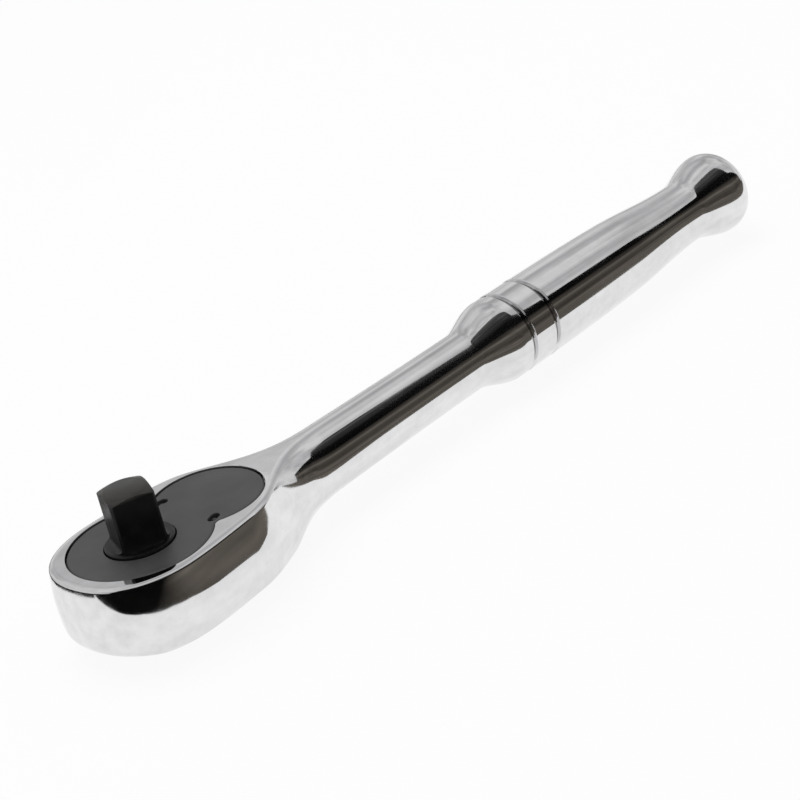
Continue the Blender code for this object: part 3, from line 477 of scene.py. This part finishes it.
class Nodes:
    """The node tree of a material or world, with short calls for the nodes that they share."""

    def __init__(self, owner, coordinates):
        owner.use_nodes = True
        self.nodes = owner.node_tree.nodes
        self.links = owner.node_tree.links
        self.place = self.new("ShaderNodeTexCoord").outputs[coordinates]

    def new(self, kind, **settings):
        node = self.nodes.new(kind)
        for key, value in settings.items():
            if key in node.inputs:
                node.inputs[key].default_value = value
            else:
                setattr(node, key, value)
        return node

    def link(self, source, target):
        self.links.new(source, target)

    def stretched(self, scale):
        """Object coordinates scaled along each axis."""
        mapping = self.new("ShaderNodeMapping", Scale=scale)
        self.link(self.place, mapping.inputs["Vector"])
        return mapping.outputs["Vector"]

    def noise(self, scale, detail, vector=None):
        node = self.new("ShaderNodeTexNoise", Scale=scale, Detail=detail)
        self.link(vector or self.place, node.inputs["Vector"])
        return node.outputs["Fac"]

    def ramp(self, source, stops):
        """A colour ramp through (position, colour) stops."""
        node = self.new("ShaderNodeValToRGB")
        elements = node.color_ramp.elements
        while len(elements) < len(stops):
            elements.new(0.5)
        for element, (position, value) in zip(elements, stops):
            element.position = position
            element.color = (*value, 1.0)
        self.link(source, node.inputs["Fac"])
        return node.outputs["Color"]

    def mapped(self, source, start, end):
        """Maps one range of a value onto another."""
        node = self.new("ShaderNodeMapRange")
        for key, value in zip(("From Min", "From Max", "To Min", "To Max"), (*start, *end)):
            node.inputs[key].default_value = value
        self.link(source, node.inputs["Value"])
        return node.outputs["Result"]

    def between(self, source, low, high):
        """Maps the middle of a noise onto a range."""
        return self.mapped(source, NOISE_MIDDLE, (low, high))

    def ranged(self, source, low, high):
        """Maps a range of a value onto 0 to 1."""
        return self.mapped(source, (low, high), (0.0, 1.0))

    def axis(self, name):
        """One of the object coordinates."""
        node = self.new("ShaderNodeSeparateXYZ")
        self.link(self.place, node.inputs[0])
        return node.outputs[name]

    def fed(self, node, *values):
        """A node's output, with its inputs fed in order from sockets or constants."""
        for socket, value in zip(node.inputs, values):
            self.feed(value, socket)
        return node.outputs[0]

    def math(self, operation, *values):
        return self.fed(self.new("ShaderNodeMath", operation=operation), *values)

    def mixed(self, share, first, second, blend="MIX"):
        """Mixes two colours by a share."""
        return self.fed(self.new("ShaderNodeMixRGB", blend_type=blend), share, first, second)

    def shaders(self, share, first, second):
        """Mixes two shaders by a share."""
        return self.fed(self.new("ShaderNodeMixShader"), share, first, second)

    def feed(self, value, socket):
        """Links a socket to an input, or sets a constant on it."""
        if isinstance(value, bpy.types.NodeSocket):
            self.link(value, socket)
        else:
            socket.default_value = value


class Finish(Nodes):
    """A node material."""

    def __init__(self, name):
        self.material = bpy.data.materials.new(name)
        super().__init__(self.material, "Object")
        self.shader = self.nodes["Principled BSDF"]

    def surface(self, shader):
        """Puts another shader on the surface."""
        self.link(shader, self.nodes["Material Output"].inputs["Surface"])
        return self.material

    def bump(self, height, distance, strength, below=None):
        node = self.new("ShaderNodeBump", Strength=strength, Distance=distance)
        self.link(height, node.inputs["Height"])
        if below is not None:
            self.link(below, node.inputs["Normal"])
        return node.outputs["Normal"]

    def set(self, **values):
        for key, value in values.items():
            self.feed(value, self.shader.inputs[key.replace("_", " ")])
        return self.material


def scaled(value, factor):
    return tuple(min(1.0, channel * factor) for channel in value)


def from_grooves(finish, size):
    """Distance along the handle from the nearer ring groove."""
    away = finish.axis("X")
    middle = (size.groove_first + size.groove_second) / 2
    for step in (middle, size.groove_second - middle):
        away = finish.math("ABSOLUTE", finish.math("SUBTRACT", away, step))
    return away


def chrome_finish(colours, size):
    """Polished plating: buffing waves along the handle, smears and specks, and painted shade darkening the
    ring grooves.
    """
    finish = Finish("polished_chrome")
    along = finish.stretched((0.25, 1.0, 1.0))
    waves = finish.noise(90.0, 2.0, along)
    smears = finish.noise(260.0, 3.0, along)
    specks = finish.noise(420.0, 6.0)
    shine = finish.ramp(smears, [(0.3, scaled(colours.chrome, 0.88)), (0.65, colours.chrome)])
    speckled = finish.ramp(specks, [(0.3, (0.94, 0.94, 0.935)), (0.6, WHITE)])
    # Painted shade: the colour falls to 0.32 inside the ring grooves, where shade gathers.
    unshaded_share = finish.ranged(from_grooves(finish, size), *GROOVE_SHADE_SPAN)
    painted_groove_shade = finish.ramp(unshaded_share, [(0.0, (0.32, 0.32, 0.32)), (1.0, WHITE)])
    for layer in (speckled, painted_groove_shade):
        shine = finish.mixed(1.0, shine, layer, "MULTIPLY")
    return finish.set(
        Base_Color=shine,
        Metallic=1.0,
        Roughness=finish.between(smears, 0.04, 0.11),
        Normal=finish.bump(waves, 0.0004, 0.06),
    )


def plate_finish(colours):
    """Dark satin with a fine grain and slightly paler wear."""
    finish = Finish("dark_satin")
    grain = finish.noise(3200.0, 2.0)
    wear = finish.noise(120.0, 4.0)
    shade = finish.ramp(wear, [(0.3, scaled(colours.plate, 0.8)), (0.7, scaled(colours.plate, 1.25))])
    return finish.set(
        Base_Color=shade,
        Metallic=0.35,
        Roughness=finish.between(wear, 0.42, 0.52),
        Normal=finish.bump(grain, 0.00004, 0.35),
    )


def black_finish(colours):
    """Blackened steel: mottled gloss, turning marks on the paler sloped end, and wear with a painted
    highlight along the edges.
    """
    finish = Finish("blackened_steel")
    mottle = finish.noise(300.0, 4.0)
    speckle = finish.noise(1800.0, 2.0)
    end = finish.ranged(finish.axis("Z"), -1.0 * MM, -0.5 * MM)
    black = finish.ramp(mottle, [(0.3, scaled(colours.black, 0.7)), (0.7, scaled(colours.black, 1.5))])
    worn = finish.ramp(mottle, [(0.3, colours.worn), (0.7, scaled(colours.worn, 1.5))])
    # Pointiness lightens the sharp edges in flecks: wear together with a painted highlight along them.
    pointed = finish.new("ShaderNodeNewGeometry").outputs["Pointiness"]
    edges = finish.ramp(pointed, [(0.52, NOTHING), (0.62, WHITE)])
    flecks = finish.ramp(speckle, [(0.35, NOTHING), (0.65, scaled(WHITE, 0.8))])
    edge_wear_and_highlight = finish.mixed(1.0, edges, flecks, "MULTIPLY")
    worn_and_highlit = finish.mixed(edge_wear_and_highlight, finish.mixed(end, black, worn), (*scaled(colours.worn, 2.4), 1.0))
    rings = finish.new(
        "ShaderNodeTexWave", wave_type="RINGS", rings_direction="Z", Scale=520.0, Distortion=0.6
    )
    finish.link(finish.place, rings.inputs["Vector"])
    marks = finish.bump(rings.outputs["Fac"], 0.00003, 0.25)
    return finish.set(
        Base_Color=worn_and_highlit,
        Metallic=0.4,
        Specular_IOR_Level=0.42,
        Roughness=finish.between(mottle, 0.30, 0.46),
        Normal=finish.bump(speckle, 0.00002, 0.3, marks),
    )


def steel_finish(name, value, low, high):
    """Ground or hardened steel with fine marks."""
    finish = Finish(name)
    marks = finish.noise(1200.0, 3.0)
    return finish.set(
        Base_Color=finish.ramp(marks, [(0.3, scaled(value, 0.85)), (0.7, value)]),
        Metallic=1.0,
        Roughness=finish.between(marks, low, high),
        Normal=finish.bump(marks, 0.00003, 0.25),
    )


class WRENCH_OT_body(bpy.types.Operator):
    """Forging with its machined pocket, as one closed shell"""

    bl_idname = "wrench.body"
    bl_label = "Body"

    def execute(self, context):
        size = context.scene.wrench_forging
        pocket = context.scene.wrench_pocket
        shell = Shell()
        half = forging_grid(size)
        other = half * MIRROR
        shell.grid(half)
        shell.grid(other[:, ::-1])
        end = np.concatenate([half[-1], other[-1, ::-1][1:-1]])
        shell.fill([end])
        rim = -size.reach
        back = rim - size.thickness
        face = self.flat_edge(half[:, 0])
        under = self.flat_edge(half[:, -1])
        recess = figure_eight(pocket, pocket.gap)
        cavity = figure_eight(pocket, -pocket.ledge)
        hub = circle(CENTRE, pocket.hub, HUB_STEPS)
        post = circle((pocket.pivot, 0.0), pocket.post, POST_STEPS)
        seat = circle((pocket.pivot, 0.0), pocket.clip, POST_STEPS)
        shell.fill([face, at_height(recess, rim)])
        ledge = rim - pocket.ledge_depth
        floor = rim - pocket.floor_depth
        clip = rim - pocket.clip_depth
        steps = ((recess, rim), (recess, ledge), (cavity, ledge), (cavity, floor))
        shell.wall([at_height(*step) for step in steps])
        shell.fill([at_height(cavity, floor), at_height(hub, floor), at_height(seat, floor)])
        steps = ((seat, floor), (seat, clip), (post, clip), (post, back))
        shell.wall([at_height(*step) for step in steps])
        shell.wall([at_height(hub, floor), at_height(hub, back)])
        shell.fill([under, at_height(hub, back), at_height(post, back)])
        body = shell.made("body_forging", SHARP)
        chrome = chrome_finish(context.scene.wrench_finishes, size)
        settle(body, "handle", "chrome", chrome, "body")
        return {"FINISHED"}

    def flat_edge(self, line):
        """The closed edge of a flat face: a line from the nose back to the middle, and its mirror."""
        line = line[: np.count_nonzero(line[:, 1] > WELD) + 2]
        return np.concatenate([line, line[-2:0:-1] * MIRROR])


def slot_outline(cover, side, growth):
    """A stadium at one end of the retaining ring, turned a little against the handle."""
    straight = (cover.slot_length - cover.slot_width) / 2
    radius = cover.slot_width / 2 + growth
    upright = np.concatenate(
        [
            arc((straight, 0.0), radius, -RIGHT_ANGLE, RIGHT_ANGLE, 21),
            arc((-straight, 0.0), radius, RIGHT_ANGLE, 3 * RIGHT_ANGLE, 21),
        ]
    )
    lean = -side * cover.slot_lean
    leaning = upright @ np.array([[math.cos(lean), math.sin(lean)], [-math.sin(lean), math.cos(lean)]])
    return leaning + cover.ring * np.array([math.cos(cover.ring_angle), side * math.sin(cover.ring_angle)])


class WRENCH_OT_cover(bpy.types.Operator):
    """Dark plate let into the head, and the ring that holds it"""

    bl_idname = "wrench.cover"
    bl_label = "Cover plate"

    def execute(self, context):
        colours = context.scene.wrench_finishes
        cover = context.scene.wrench_cover
        pocket = context.scene.wrench_pocket
        top = -context.scene.wrench_forging.reach - cover.sunk
        shell = Shell()
        edge = self.edge_profile(cover, pocket.large)
        loops = [at_height(figure_eight(pocket, growth), top + depth) for growth, depth in edge]
        shell.wall(loops)
        profile = (
            (cover.bore + cover.chamfer + FLAT_MARGIN, top),
            (cover.bore + cover.chamfer, top),
            (cover.bore, top - cover.chamfer),
            (cover.bore, top - cover.thickness),
        )
        bore = turned(profile, PLATE_BORE_STEPS)
        shell.wall(bore)
        holes = [bore[0]]
        ring_depth = -cover.thickness / 2
        for side in (1, -1):
            steps = (
                (cover.chamfer + FLAT_MARGIN, 0.0),
                (cover.chamfer, 0.0),
                (0.0, -cover.chamfer),
                (0.0, ring_depth),
            )
            slot = [at_height(slot_outline(cover, side, growth), top + depth) for growth, depth in steps]
            shell.wall(slot)
            shell.fill([slot[-1]])
            holes.append(slot[0])
        shell.fill([loops[0], *holes])
        shell.fill([loops[-1], bore[-1]])
        plate = shell.made("cover_plate_dark", NODE_SHARP)
        settle(plate, "handle", "dark_plate", plate_finish(colours), "cover_plate")
        dark = steel_finish("dark_spring_wire", scaled(colours.steel, 0.4), 0.3, 0.42)
        smoothed_node("retaining_ring", "handle", "grey_steel", dark)
        return {"FINISHED"}

    def edge_profile(self, cover, plate_radius):
        """The plate's edge as (growth, depth) from its top to its underside.

        A quarter round above and below, and between them the round groove for the ring.
        """
        turn = np.linspace(0.0, RIGHT_ANGLE, 10)
        inward = -cover.edge * (1 - np.sin(turn))
        down = -cover.edge * (1 - np.cos(turn))
        upper = np.column_stack([inward, down])
        lower = np.column_stack([inward, -cover.thickness - down])[::-1]
        proud = cover.ring - plate_radius
        reach = math.acos(proud / cover.groove)
        sweep = np.linspace(reach, -reach, 17)
        groove = np.column_stack(
            [proud - cover.groove * np.cos(sweep), -cover.thickness / 2 + cover.groove * np.sin(sweep)]
        )
        flat = np.array([[-cover.edge - FLAT_MARGIN, 0.0]])
        under = np.array([[-cover.edge - FLAT_MARGIN, -cover.thickness]])
        return np.concatenate([flat, upper, groove, lower, under])


def gear_outline(drive):
    """Symmetrical teeth with flat tips and roots, as x and y."""
    pitch = 2 * math.pi / drive.teeth
    root = drive.tip - drive.tooth_depth
    root_half = pitch / 2 - drive.root_flat / 2 / root
    tip_half = drive.tip_flat / 2 / drive.tip
    angles = np.arange(drive.teeth)[:, None] * pitch + np.array([-root_half, -tip_half, tip_half, root_half])
    radii = np.tile([root, drive.tip, drive.tip, root], drive.teeth)
    return np.column_stack([radii * np.cos(angles.ravel()), radii * np.sin(angles.ravel())])


def square_loops(drive, foot):
    """Closed loops of the square from its end to its foot, with columns along its edges.

    At each height the section is the circle R cut by four flats at distance d, so an edge lies at
    the angle acos(d / R) from a flat's middle. R slopes in at the end, d grows in the foot's fillet.
    """
    half = drive.square / 2
    slope = (drive.corner - drive.end) / drive.end_slope
    meet = -(half - drive.end) / slope
    end = np.concatenate([np.linspace(0.0, meet, 4), np.linspace(meet, -drive.end_slope, 14)[1:]])
    straight = np.linspace(-drive.end_slope, foot + drive.fillet, 10)[1:]
    turn = np.linspace(math.pi, 1.5 * math.pi, 13)[1:]
    level = np.concatenate([end, straight, foot + drive.fillet * (1 + np.sin(turn))])
    flat = np.full(len(level), half)
    flat[-len(turn) :] += drive.fillet * (1 + np.cos(turn))
    radius = np.minimum(drive.end - slope * level, drive.corner)
    crease = np.arccos(np.minimum(flat / radius, 1.0))[:, None]
    share = np.linspace(-1.0, 1.0, 25)[:-1]
    across = crease * share
    corner = crease + (RIGHT_ANGLE - 2 * crease) * np.linspace(0.0, 1.0, 25)[:-1]
    cut = np.minimum(radius, flat)[:, None] / np.cos(across)
    size = np.where(crease > 0.0, cut, radius[:, None])
    quarter = np.concatenate([across, corner], axis=1)
    size = np.concatenate([size, np.broadcast_to(radius[:, None], corner.shape)], axis=1)
    angle = drive.turn + np.concatenate([quarter + index * RIGHT_ANGLE for index in range(4)], axis=1)
    size = np.tile(size, (1, 4))
    height = np.broadcast_to(level[:, None], angle.shape)
    return np.stack([size * np.cos(angle), size * np.sin(angle), height], axis=-1), angle[-1]


def bored(piece, rings, place, turn):
    """Cuts a turned bore, given as (radius, distance from the axis) steps, into the side of a piece."""
    shell = Shell()
    loops = turned(rings, BALL_BORE_STEPS)
    shell.wall(loops)
    shell.fill([loops[0]])
    shell.fill([loops[-1]])
    cutter = shell.made("bore_cutter", SHARP)
    lying = Matrix.Rotation(turn, 4, "Z") @ Matrix.Rotation(RIGHT_ANGLE, 4, "Y")
    cutter.data.transform(Matrix.Translation((0.0, 0.0, place)) @ lying)
    cut = piece.modifiers.new("bore", "BOOLEAN")
    cut.object = cutter
    cut.solver = "EXACT"
    bpy.context.view_layer.update()
    graph = bpy.context.evaluated_depsgraph_get()
    result = bpy.data.meshes.new_from_object(piece.evaluated_get(graph))
    name = piece.name
    bpy.data.objects.remove(piece)
    bpy.data.objects.remove(cutter)
    return welded(name, result, SHARP)


class WRENCH_OT_drive(bpy.types.Operator):
    """Square drive with its gear, the ball and the quick release"""

    bl_idname = "wrench.drive"
    bl_label = "Drive"

    def execute(self, context):
        colours = context.scene.wrench_finishes
        bright = steel_finish("ground_steel", colours.bright, 0.16, 0.26)
        wire = steel_finish("spring_wire", scaled(colours.bright, 0.85), 0.25, 0.35)
        settle(self.gear(context), "drive", "black_steel", black_finish(colours), "drive_gear")
        smoothed_node("detent_ball", "ball", "bright_steel", bright)
        smoothed_node("release_pin", "button", "bright_steel", bright)
        spring = smoothed_node("release_spring", "drive", "spring_steel", wire)
        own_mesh(spring)
        ring = steel_finish("ring_steel", colours.steel, 0.3, 0.4)
        smoothed_node("release_ring", "drive", "grey_steel", ring)
        return {"FINISHED"}

    def gear(self, context):
        """Square, boss, gear and hub with the quick release's bores, as one closed shell."""
        drive = context.scene.wrench_drive
        boss_top = -context.scene.wrench_forging.reach + drive.boss_rise
        boss_edge = drive.boss_rise / 2
        square, angle = square_loops(drive, boss_top)
        around = np.column_stack([np.cos(angle), np.sin(angle)])
        boss = [
            at_height(around * radius, height)
            for radius, height in (
                (drive.boss - boss_edge, boss_top),
                (drive.boss, boss_top - boss_edge),
                (drive.boss, -drive.gear_top),
            )
        ]
        shell = Shell()
        shell.wall([*square, *boss])
        shell.fill([square[0]])
        teeth = gear_outline(drive)
        hub = circle(CENTRE, drive.hub, GEAR_HUB_STEPS)
        shell.fill([at_height(teeth, -drive.gear_top), boss[-1]])
        shell.wall([at_height(teeth, -drive.gear_top), at_height(teeth, -drive.gear_bottom)])
        shell.fill([at_height(teeth, -drive.gear_bottom), at_height(hub, -drive.gear_bottom)])
        shell.wall([at_height(hub, -drive.gear_bottom), at_height(hub, -drive.hub_end)])
        profile = (
            (drive.button_bore, -drive.hub_end),
            (drive.button_bore, -drive.ring_bottom),
            (drive.ring_bore, -drive.ring_bottom),
            (drive.ring_bore, -drive.ring_top),
            (drive.button_bore, -drive.ring_top),
            (drive.button_bore, -drive.spring_seat),
            (drive.stem_bore, -drive.spring_seat),
            (drive.stem_bore, -drive.end_wall),
        )
        bore = turned(profile, STEM_BORE_STEPS)
        shell.fill([at_height(hub, -drive.hub_end), bore[0]])
        shell.wall(bore)
        shell.fill([bore[-1]])
        half = drive.square / 2
        mouth = half - drive.ball_lip
        rings = (
            (drive.ball_mouth, half + drive.ball_lip),
            (drive.ball_mouth, mouth),
            (drive.ball_seat, mouth),
            (drive.ball_seat, 0.0),
        )
        whole = shell.made("drive_gear_black", SHARP)
        return bored(whole, rings, -drive.ball_depth, drive.turn)


class WRENCH_OT_reverse(bpy.types.Operator):
    """Reversing lever, pawl, plunger and their small pieces"""

    bl_idname = "wrench.reverse"
    bl_label = "Reversing gear"

    def execute(self, context):
        colours = context.scene.wrench_finishes
        steel = steel_finish("hardened_steel", colours.steel, 0.3, 0.42)
        satin = steel_finish("satin_chrome", scaled(colours.chrome, 0.7), 0.2, 0.3)
        smoothed_node("reversing_lever", "lever", "chrome", satin)
        smoothed_node("lever_clip", "lever", "grey_steel", steel)
        smoothed_node("pawl", "rocker", "grey_steel", steel)
        ground = steel_finish("plunger_steel", colours.bright, 0.2, 0.3)
        smoothed_node("pawl_plunger", "plunger", "bright_steel", ground)
        wire = steel_finish("fine_wire", colours.bright, 0.25, 0.35)
        spring = smoothed_node("plunger_spring", "lever", "spring_steel", wire)
        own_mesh(spring)
        return {"FINISHED"}


CAMERA_RIGHT = (0.665512, -0.712653, -0.221854)
CAMERA_DOWN = (-0.454268, -0.150893, -0.877993)
CAMERA_FORWARD = (0.592228, 0.685096, -0.424157)
CAMERA_PLACE = (-0.265409, -0.394120, 0.224772)
SENSOR_WIDTH = 36.0
CLIP_RANGE = (0.01, 20.0)
FLOOR_REACH = 3.0
FLOOR_DROP = 0.05 * MM
FLOOR_WHITE = 0.9
CARD_SPANS = ((-1.8, 1.2, 151), (-0.07, 0.1, 86))
CARD_STEPS = 40
CARD_RISE = 0.2 * MM
COVE_FOOT = -0.034
COVE_TOP = (
    (-1.8, 40.0), (-0.9, 72.0), (-0.45, 92.0), (-0.12, 96.0),
    (0.1, 84.0), (0.33, 79.0), (0.41, 50.0), (1.2, 34.0),
)
FAR_CARD_END = 1.0
END_CARD_PLACE = -0.6
END_CARD_SIDES = (-0.35, 0.6)
END_CARD_HEIGHT = 0.12
NOSE_FADE = 0.03
LAMP_PLACE = (0.05, 0.15, 0.8)
LAMP_SIZE = 0.6
LAMP_POWER = 3.0
FLOOR_CARD_EDGE = (
    (-1.8, 0.3), (-0.9, 0.3), (-0.16, 0.06), (-0.12, 0.03),
    (-0.09, 0.005), (-0.075, -0.01), (-0.062, -0.02), (-0.055, -0.0255),
    (-0.0495, -0.0307), (-0.038, -0.0396), (-0.026, -0.0441), (-0.011, -0.0488),
    (0.005, -0.047), (0.02, -0.039), (0.05, -0.031), (0.07, -0.034),
    (0.09, -0.042), (1.2, -0.042),
)
FAR_CARD_EDGE = (
    (-1.8, 0.3), (-0.9, 0.3), (-0.16, 0.06), (-0.12, 0.03),
    (-0.104, 0.0167), (-0.097, 0.0245), (-0.083, 0.040), (-0.066, 0.050),
    (-0.055, 0.055), (-0.040, 0.058), (-0.019, 0.057), (-0.003, 0.051),
    (0.02, 0.075), (0.05, 0.11), (0.1, 0.18), (0.3, 0.3),
    (1.2, 0.9),
)


class WRENCH_OT_stage(bpy.types.Operator):
    """Camera, pale floor, soft light and the cards that shape the reflections"""

    bl_idname = "wrench.stage"
    bl_label = "Stage"

    def execute(self, context):
        settings = context.scene.wrench_stage
        self.camera(context, settings)
        self.floor(settings)
        self.cards(settings)
        self.light(context, settings)
        context.scene.view_settings.view_transform = "Standard"
        return {"FINISHED"}

    def camera(self, context, settings):
        """The photograph's view."""
        data = bpy.data.cameras.new("photo_view")
        data.lens = settings.lens
        data.sensor_width = SENSOR_WIDTH
        data.clip_start, data.clip_end = CLIP_RANGE
        camera = bpy.data.objects.new("photo_view", data)
        axes = np.column_stack([CAMERA_RIGHT, -np.array(CAMERA_DOWN), -np.array(CAMERA_FORWARD)])
        place = np.eye(4)
        place[:3, :3] = axes
        place[:3, 3] = CAMERA_PLACE
        camera.matrix_world = Matrix(place.tolist())
        context.scene.collection.objects.link(camera)
        context.scene.camera = camera

    def sheet(self, name, grid, material):
        """A stage surface from a grid of points."""
        shell = Shell()
        shell.grid(grid)
        mesh = bpy.data.meshes.new(name)
        mesh.from_pydata(np.concatenate(shell.points), [], shell.faces)
        mesh.materials.append(material)
        made = bpy.data.objects.new(name, mesh)
        bpy.context.scene.collection.objects.link(made)
        return made

    def floor(self, settings):
        """A wide pale floor, white with a faint shadow from above and clear from below."""
        finish = Finish("pale_floor")
        finish.set(Base_Color=(*settings.floor, 1.0), Roughness=0.8)
        rays = finish.new("ShaderNodeLightPath").outputs
        seen = finish.math("MAXIMUM", rays["Is Camera Ray"], rays["Is Glossy Ray"])
        white = finish.new("ShaderNodeEmission", Strength=1.0).outputs[0]
        share = finish.math("MULTIPLY", seen, FLOOR_WHITE)
        above = finish.shaders(share, finish.shader.outputs[0], white)
        below = finish.new("ShaderNodeNewGeometry").outputs["Backfacing"]
        clear = finish.new("ShaderNodeBsdfTransparent").outputs[0]
        finish.surface(finish.shaders(below, above, clear))
        lowest = CAD_BOX[0][2] - FLOOR_DROP
        span = np.linspace(-FLOOR_REACH, FLOOR_REACH, 3)
        x, y = np.meshgrid(span, span, indexing="ij")
        self.sheet("floor", np.stack([-x, y, np.full_like(x, lowest)], axis=-1), finish.material)

    def cards(self, settings):
        """Dark cards that only the metal sees.

        A cove stands round the handle's line on the camera's side, x by angle, with a top edge that
        drops along the handle. Two lie on the floor, one from a little in front of the tool to the
        cove's foot and one beyond the nose and behind. A low one stands beyond the nose.
        """
        x = np.unique(np.concatenate([np.linspace(*span) for span in CARD_SPANS]))
        top_x, top_angle = zip(*COVE_TOP)
        top = np.interp(x, top_x, np.radians(top_angle))
        share = np.linspace(0.0, 1.0, CARD_STEPS)
        angle = COVE_FOOT + (top[:, None] - COVE_FOOT) * share
        along = np.broadcast_to(x[:, None], angle.shape)
        middle = self.handle_level()
        cove = [along, -settings.cove * np.cos(angle), middle + settings.cove * np.sin(angle)]
        self.card("cove_card", cove, settings)
        lowest = CAD_BOX[0][2] + CARD_RISE
        lying = (("floor_card", FLOOR_CARD_EDGE, -settings.cove), ("far_card", FAR_CARD_EDGE, FAR_CARD_END))
        for name, edge, far in lying:
            near = np.interp(x, *zip(*edge))[:, None]
            across = near + (far - near) * share
            self.card(name, [along, across, np.full(across.shape, lowest)], settings)
        side, rise = np.meshgrid(
            np.linspace(*END_CARD_SIDES, 39), np.linspace(0.0, END_CARD_HEIGHT, 7), indexing="ij"
        )
        self.card("end_card", [np.full(side.shape, END_CARD_PLACE), side, lowest + rise], settings)

    def handle_level(self):
        """Height of the handle's line."""
        size = bpy.context.scene.wrench_forging
        return -size.reach - size.thickness / 2

    def card_finish(self, settings, name):
        """Brown below, nearly black above, with one paler stripe and soft streaks along the handle."""
        finish = Finish(name)
        middle = self.handle_level()
        level = finish.ranged(finish.axis("Z"), middle, middle + settings.cove)
        warm = settings.card_warm
        dark = settings.card_dark
        stops = [
            (0.0, warm),
            (0.10, scaled(warm, 0.45)),
            (0.28, scaled(warm, 0.6)),
            (0.36, scaled(warm, 1.35)),
            (0.44, scaled(warm, 0.5)),
            (0.58, dark),
            (0.78, scaled(dark, 1.5)),
            (0.90, scaled(dark, 13.0)),
            (1.0, scaled(dark, 37.0)),
        ]
        ahead = finish.ranged(finish.axis("X"), -NOSE_FADE, NOSE_FADE)
        shade = finish.mixed(ahead, (*dark, 1.0), finish.ramp(level, stops))
        streaks = finish.noise(9.0, 3.0, finish.stretched((0.6, 2.0, 6.0)))
        tint = finish.ramp(streaks, [(0.3, (0.5, 0.5, 0.5)), (0.7, (1.5, 1.45, 1.4))])
        glow = finish.new("ShaderNodeEmission", Strength=1.0)
        finish.link(finish.mixed(1.0, shade, tint, "MULTIPLY"), glow.inputs["Color"])
        return finish.surface(glow.outputs[0])

    def card(self, name, axes, settings):
        """A sheet that only the metal sees, from its x, y and z."""
        made = self.sheet(name, np.stack(axes, axis=-1), self.card_finish(settings, name))
        for ray in ("camera", "diffuse", "shadow", "transmission"):
            setattr(made, f"visible_{ray}", False)

    def light(self, context, settings):
        """A soft, slightly uneven sky that the camera sees as white, and a weak lamp overhead."""
        world = bpy.data.worlds.new("soft_room")
        room = Nodes(world, "Generated")
        sky = room.nodes["Background"]
        sky.inputs["Strength"].default_value = settings.sky
        tone = room.ramp(room.noise(3.2, 4.0), [(0.34, (0.62, 0.62, 0.63)), (0.62, (1.08, 1.08, 1.08))])
        room.link(tone, sky.inputs["Color"])
        clear = room.new("ShaderNodeBackground", Color=(*WHITE, 1.0)).outputs[0]
        seen = room.new("ShaderNodeLightPath").outputs["Is Camera Ray"]
        mix = room.shaders(seen, sky.outputs[0], clear)
        room.link(mix, room.nodes["World Output"].inputs["Surface"])
        context.scene.world = world
        lamp = bpy.data.lights.new("overhead", "AREA")
        lamp.size = LAMP_SIZE
        lamp.energy = LAMP_POWER
        lamp_object = bpy.data.objects.new("overhead", lamp)
        lamp_object.location = LAMP_PLACE
        lamp_object.visible_glossy = False
        context.scene.collection.objects.link(lamp_object)


class WRENCH_PT_panel(bpy.types.Panel):
    """Buttons for each step"""

    bl_label = "Ratchet wrench"
    bl_idname = "WRENCH_PT_panel"
    bl_space_type = "VIEW_3D"
    bl_region_type = "UI"
    bl_category = "Wrench"

    def draw(self, context):
        for operator in OPERATORS:
            self.layout.operator(operator.bl_idname)


GROUPS = {
    "wrench_forging": WrenchForging,
    "wrench_pocket": WrenchPocket,
    "wrench_cover": WrenchCover,
    "wrench_drive": WrenchDrive,
    "wrench_finishes": WrenchFinishes,
    "wrench_stage": WrenchStage,
}
OPERATORS = (WRENCH_OT_body, WRENCH_OT_cover, WRENCH_OT_drive, WRENCH_OT_reverse, WRENCH_OT_stage)


def register():
    for kind in (*GROUPS.values(), *OPERATORS, WRENCH_PT_panel):
        bpy.utils.register_class(kind)
    for name, kind in GROUPS.items():
        setattr(bpy.types.Scene, name, bpy.props.PointerProperty(type=kind))


def unregister():
    for name in GROUPS:
        delattr(bpy.types.Scene, name)
    for kind in (WRENCH_PT_panel, *reversed(OPERATORS), *reversed(tuple(GROUPS.values()))):
        bpy.utils.unregister_class(kind)


def main():
    register()
    bpy.ops.wrench.body()
    bpy.ops.wrench.cover()
    bpy.ops.wrench.drive()
    bpy.ops.wrench.reverse()
    bpy.ops.wrench.stage()


if __name__ == "__main__":
    main()
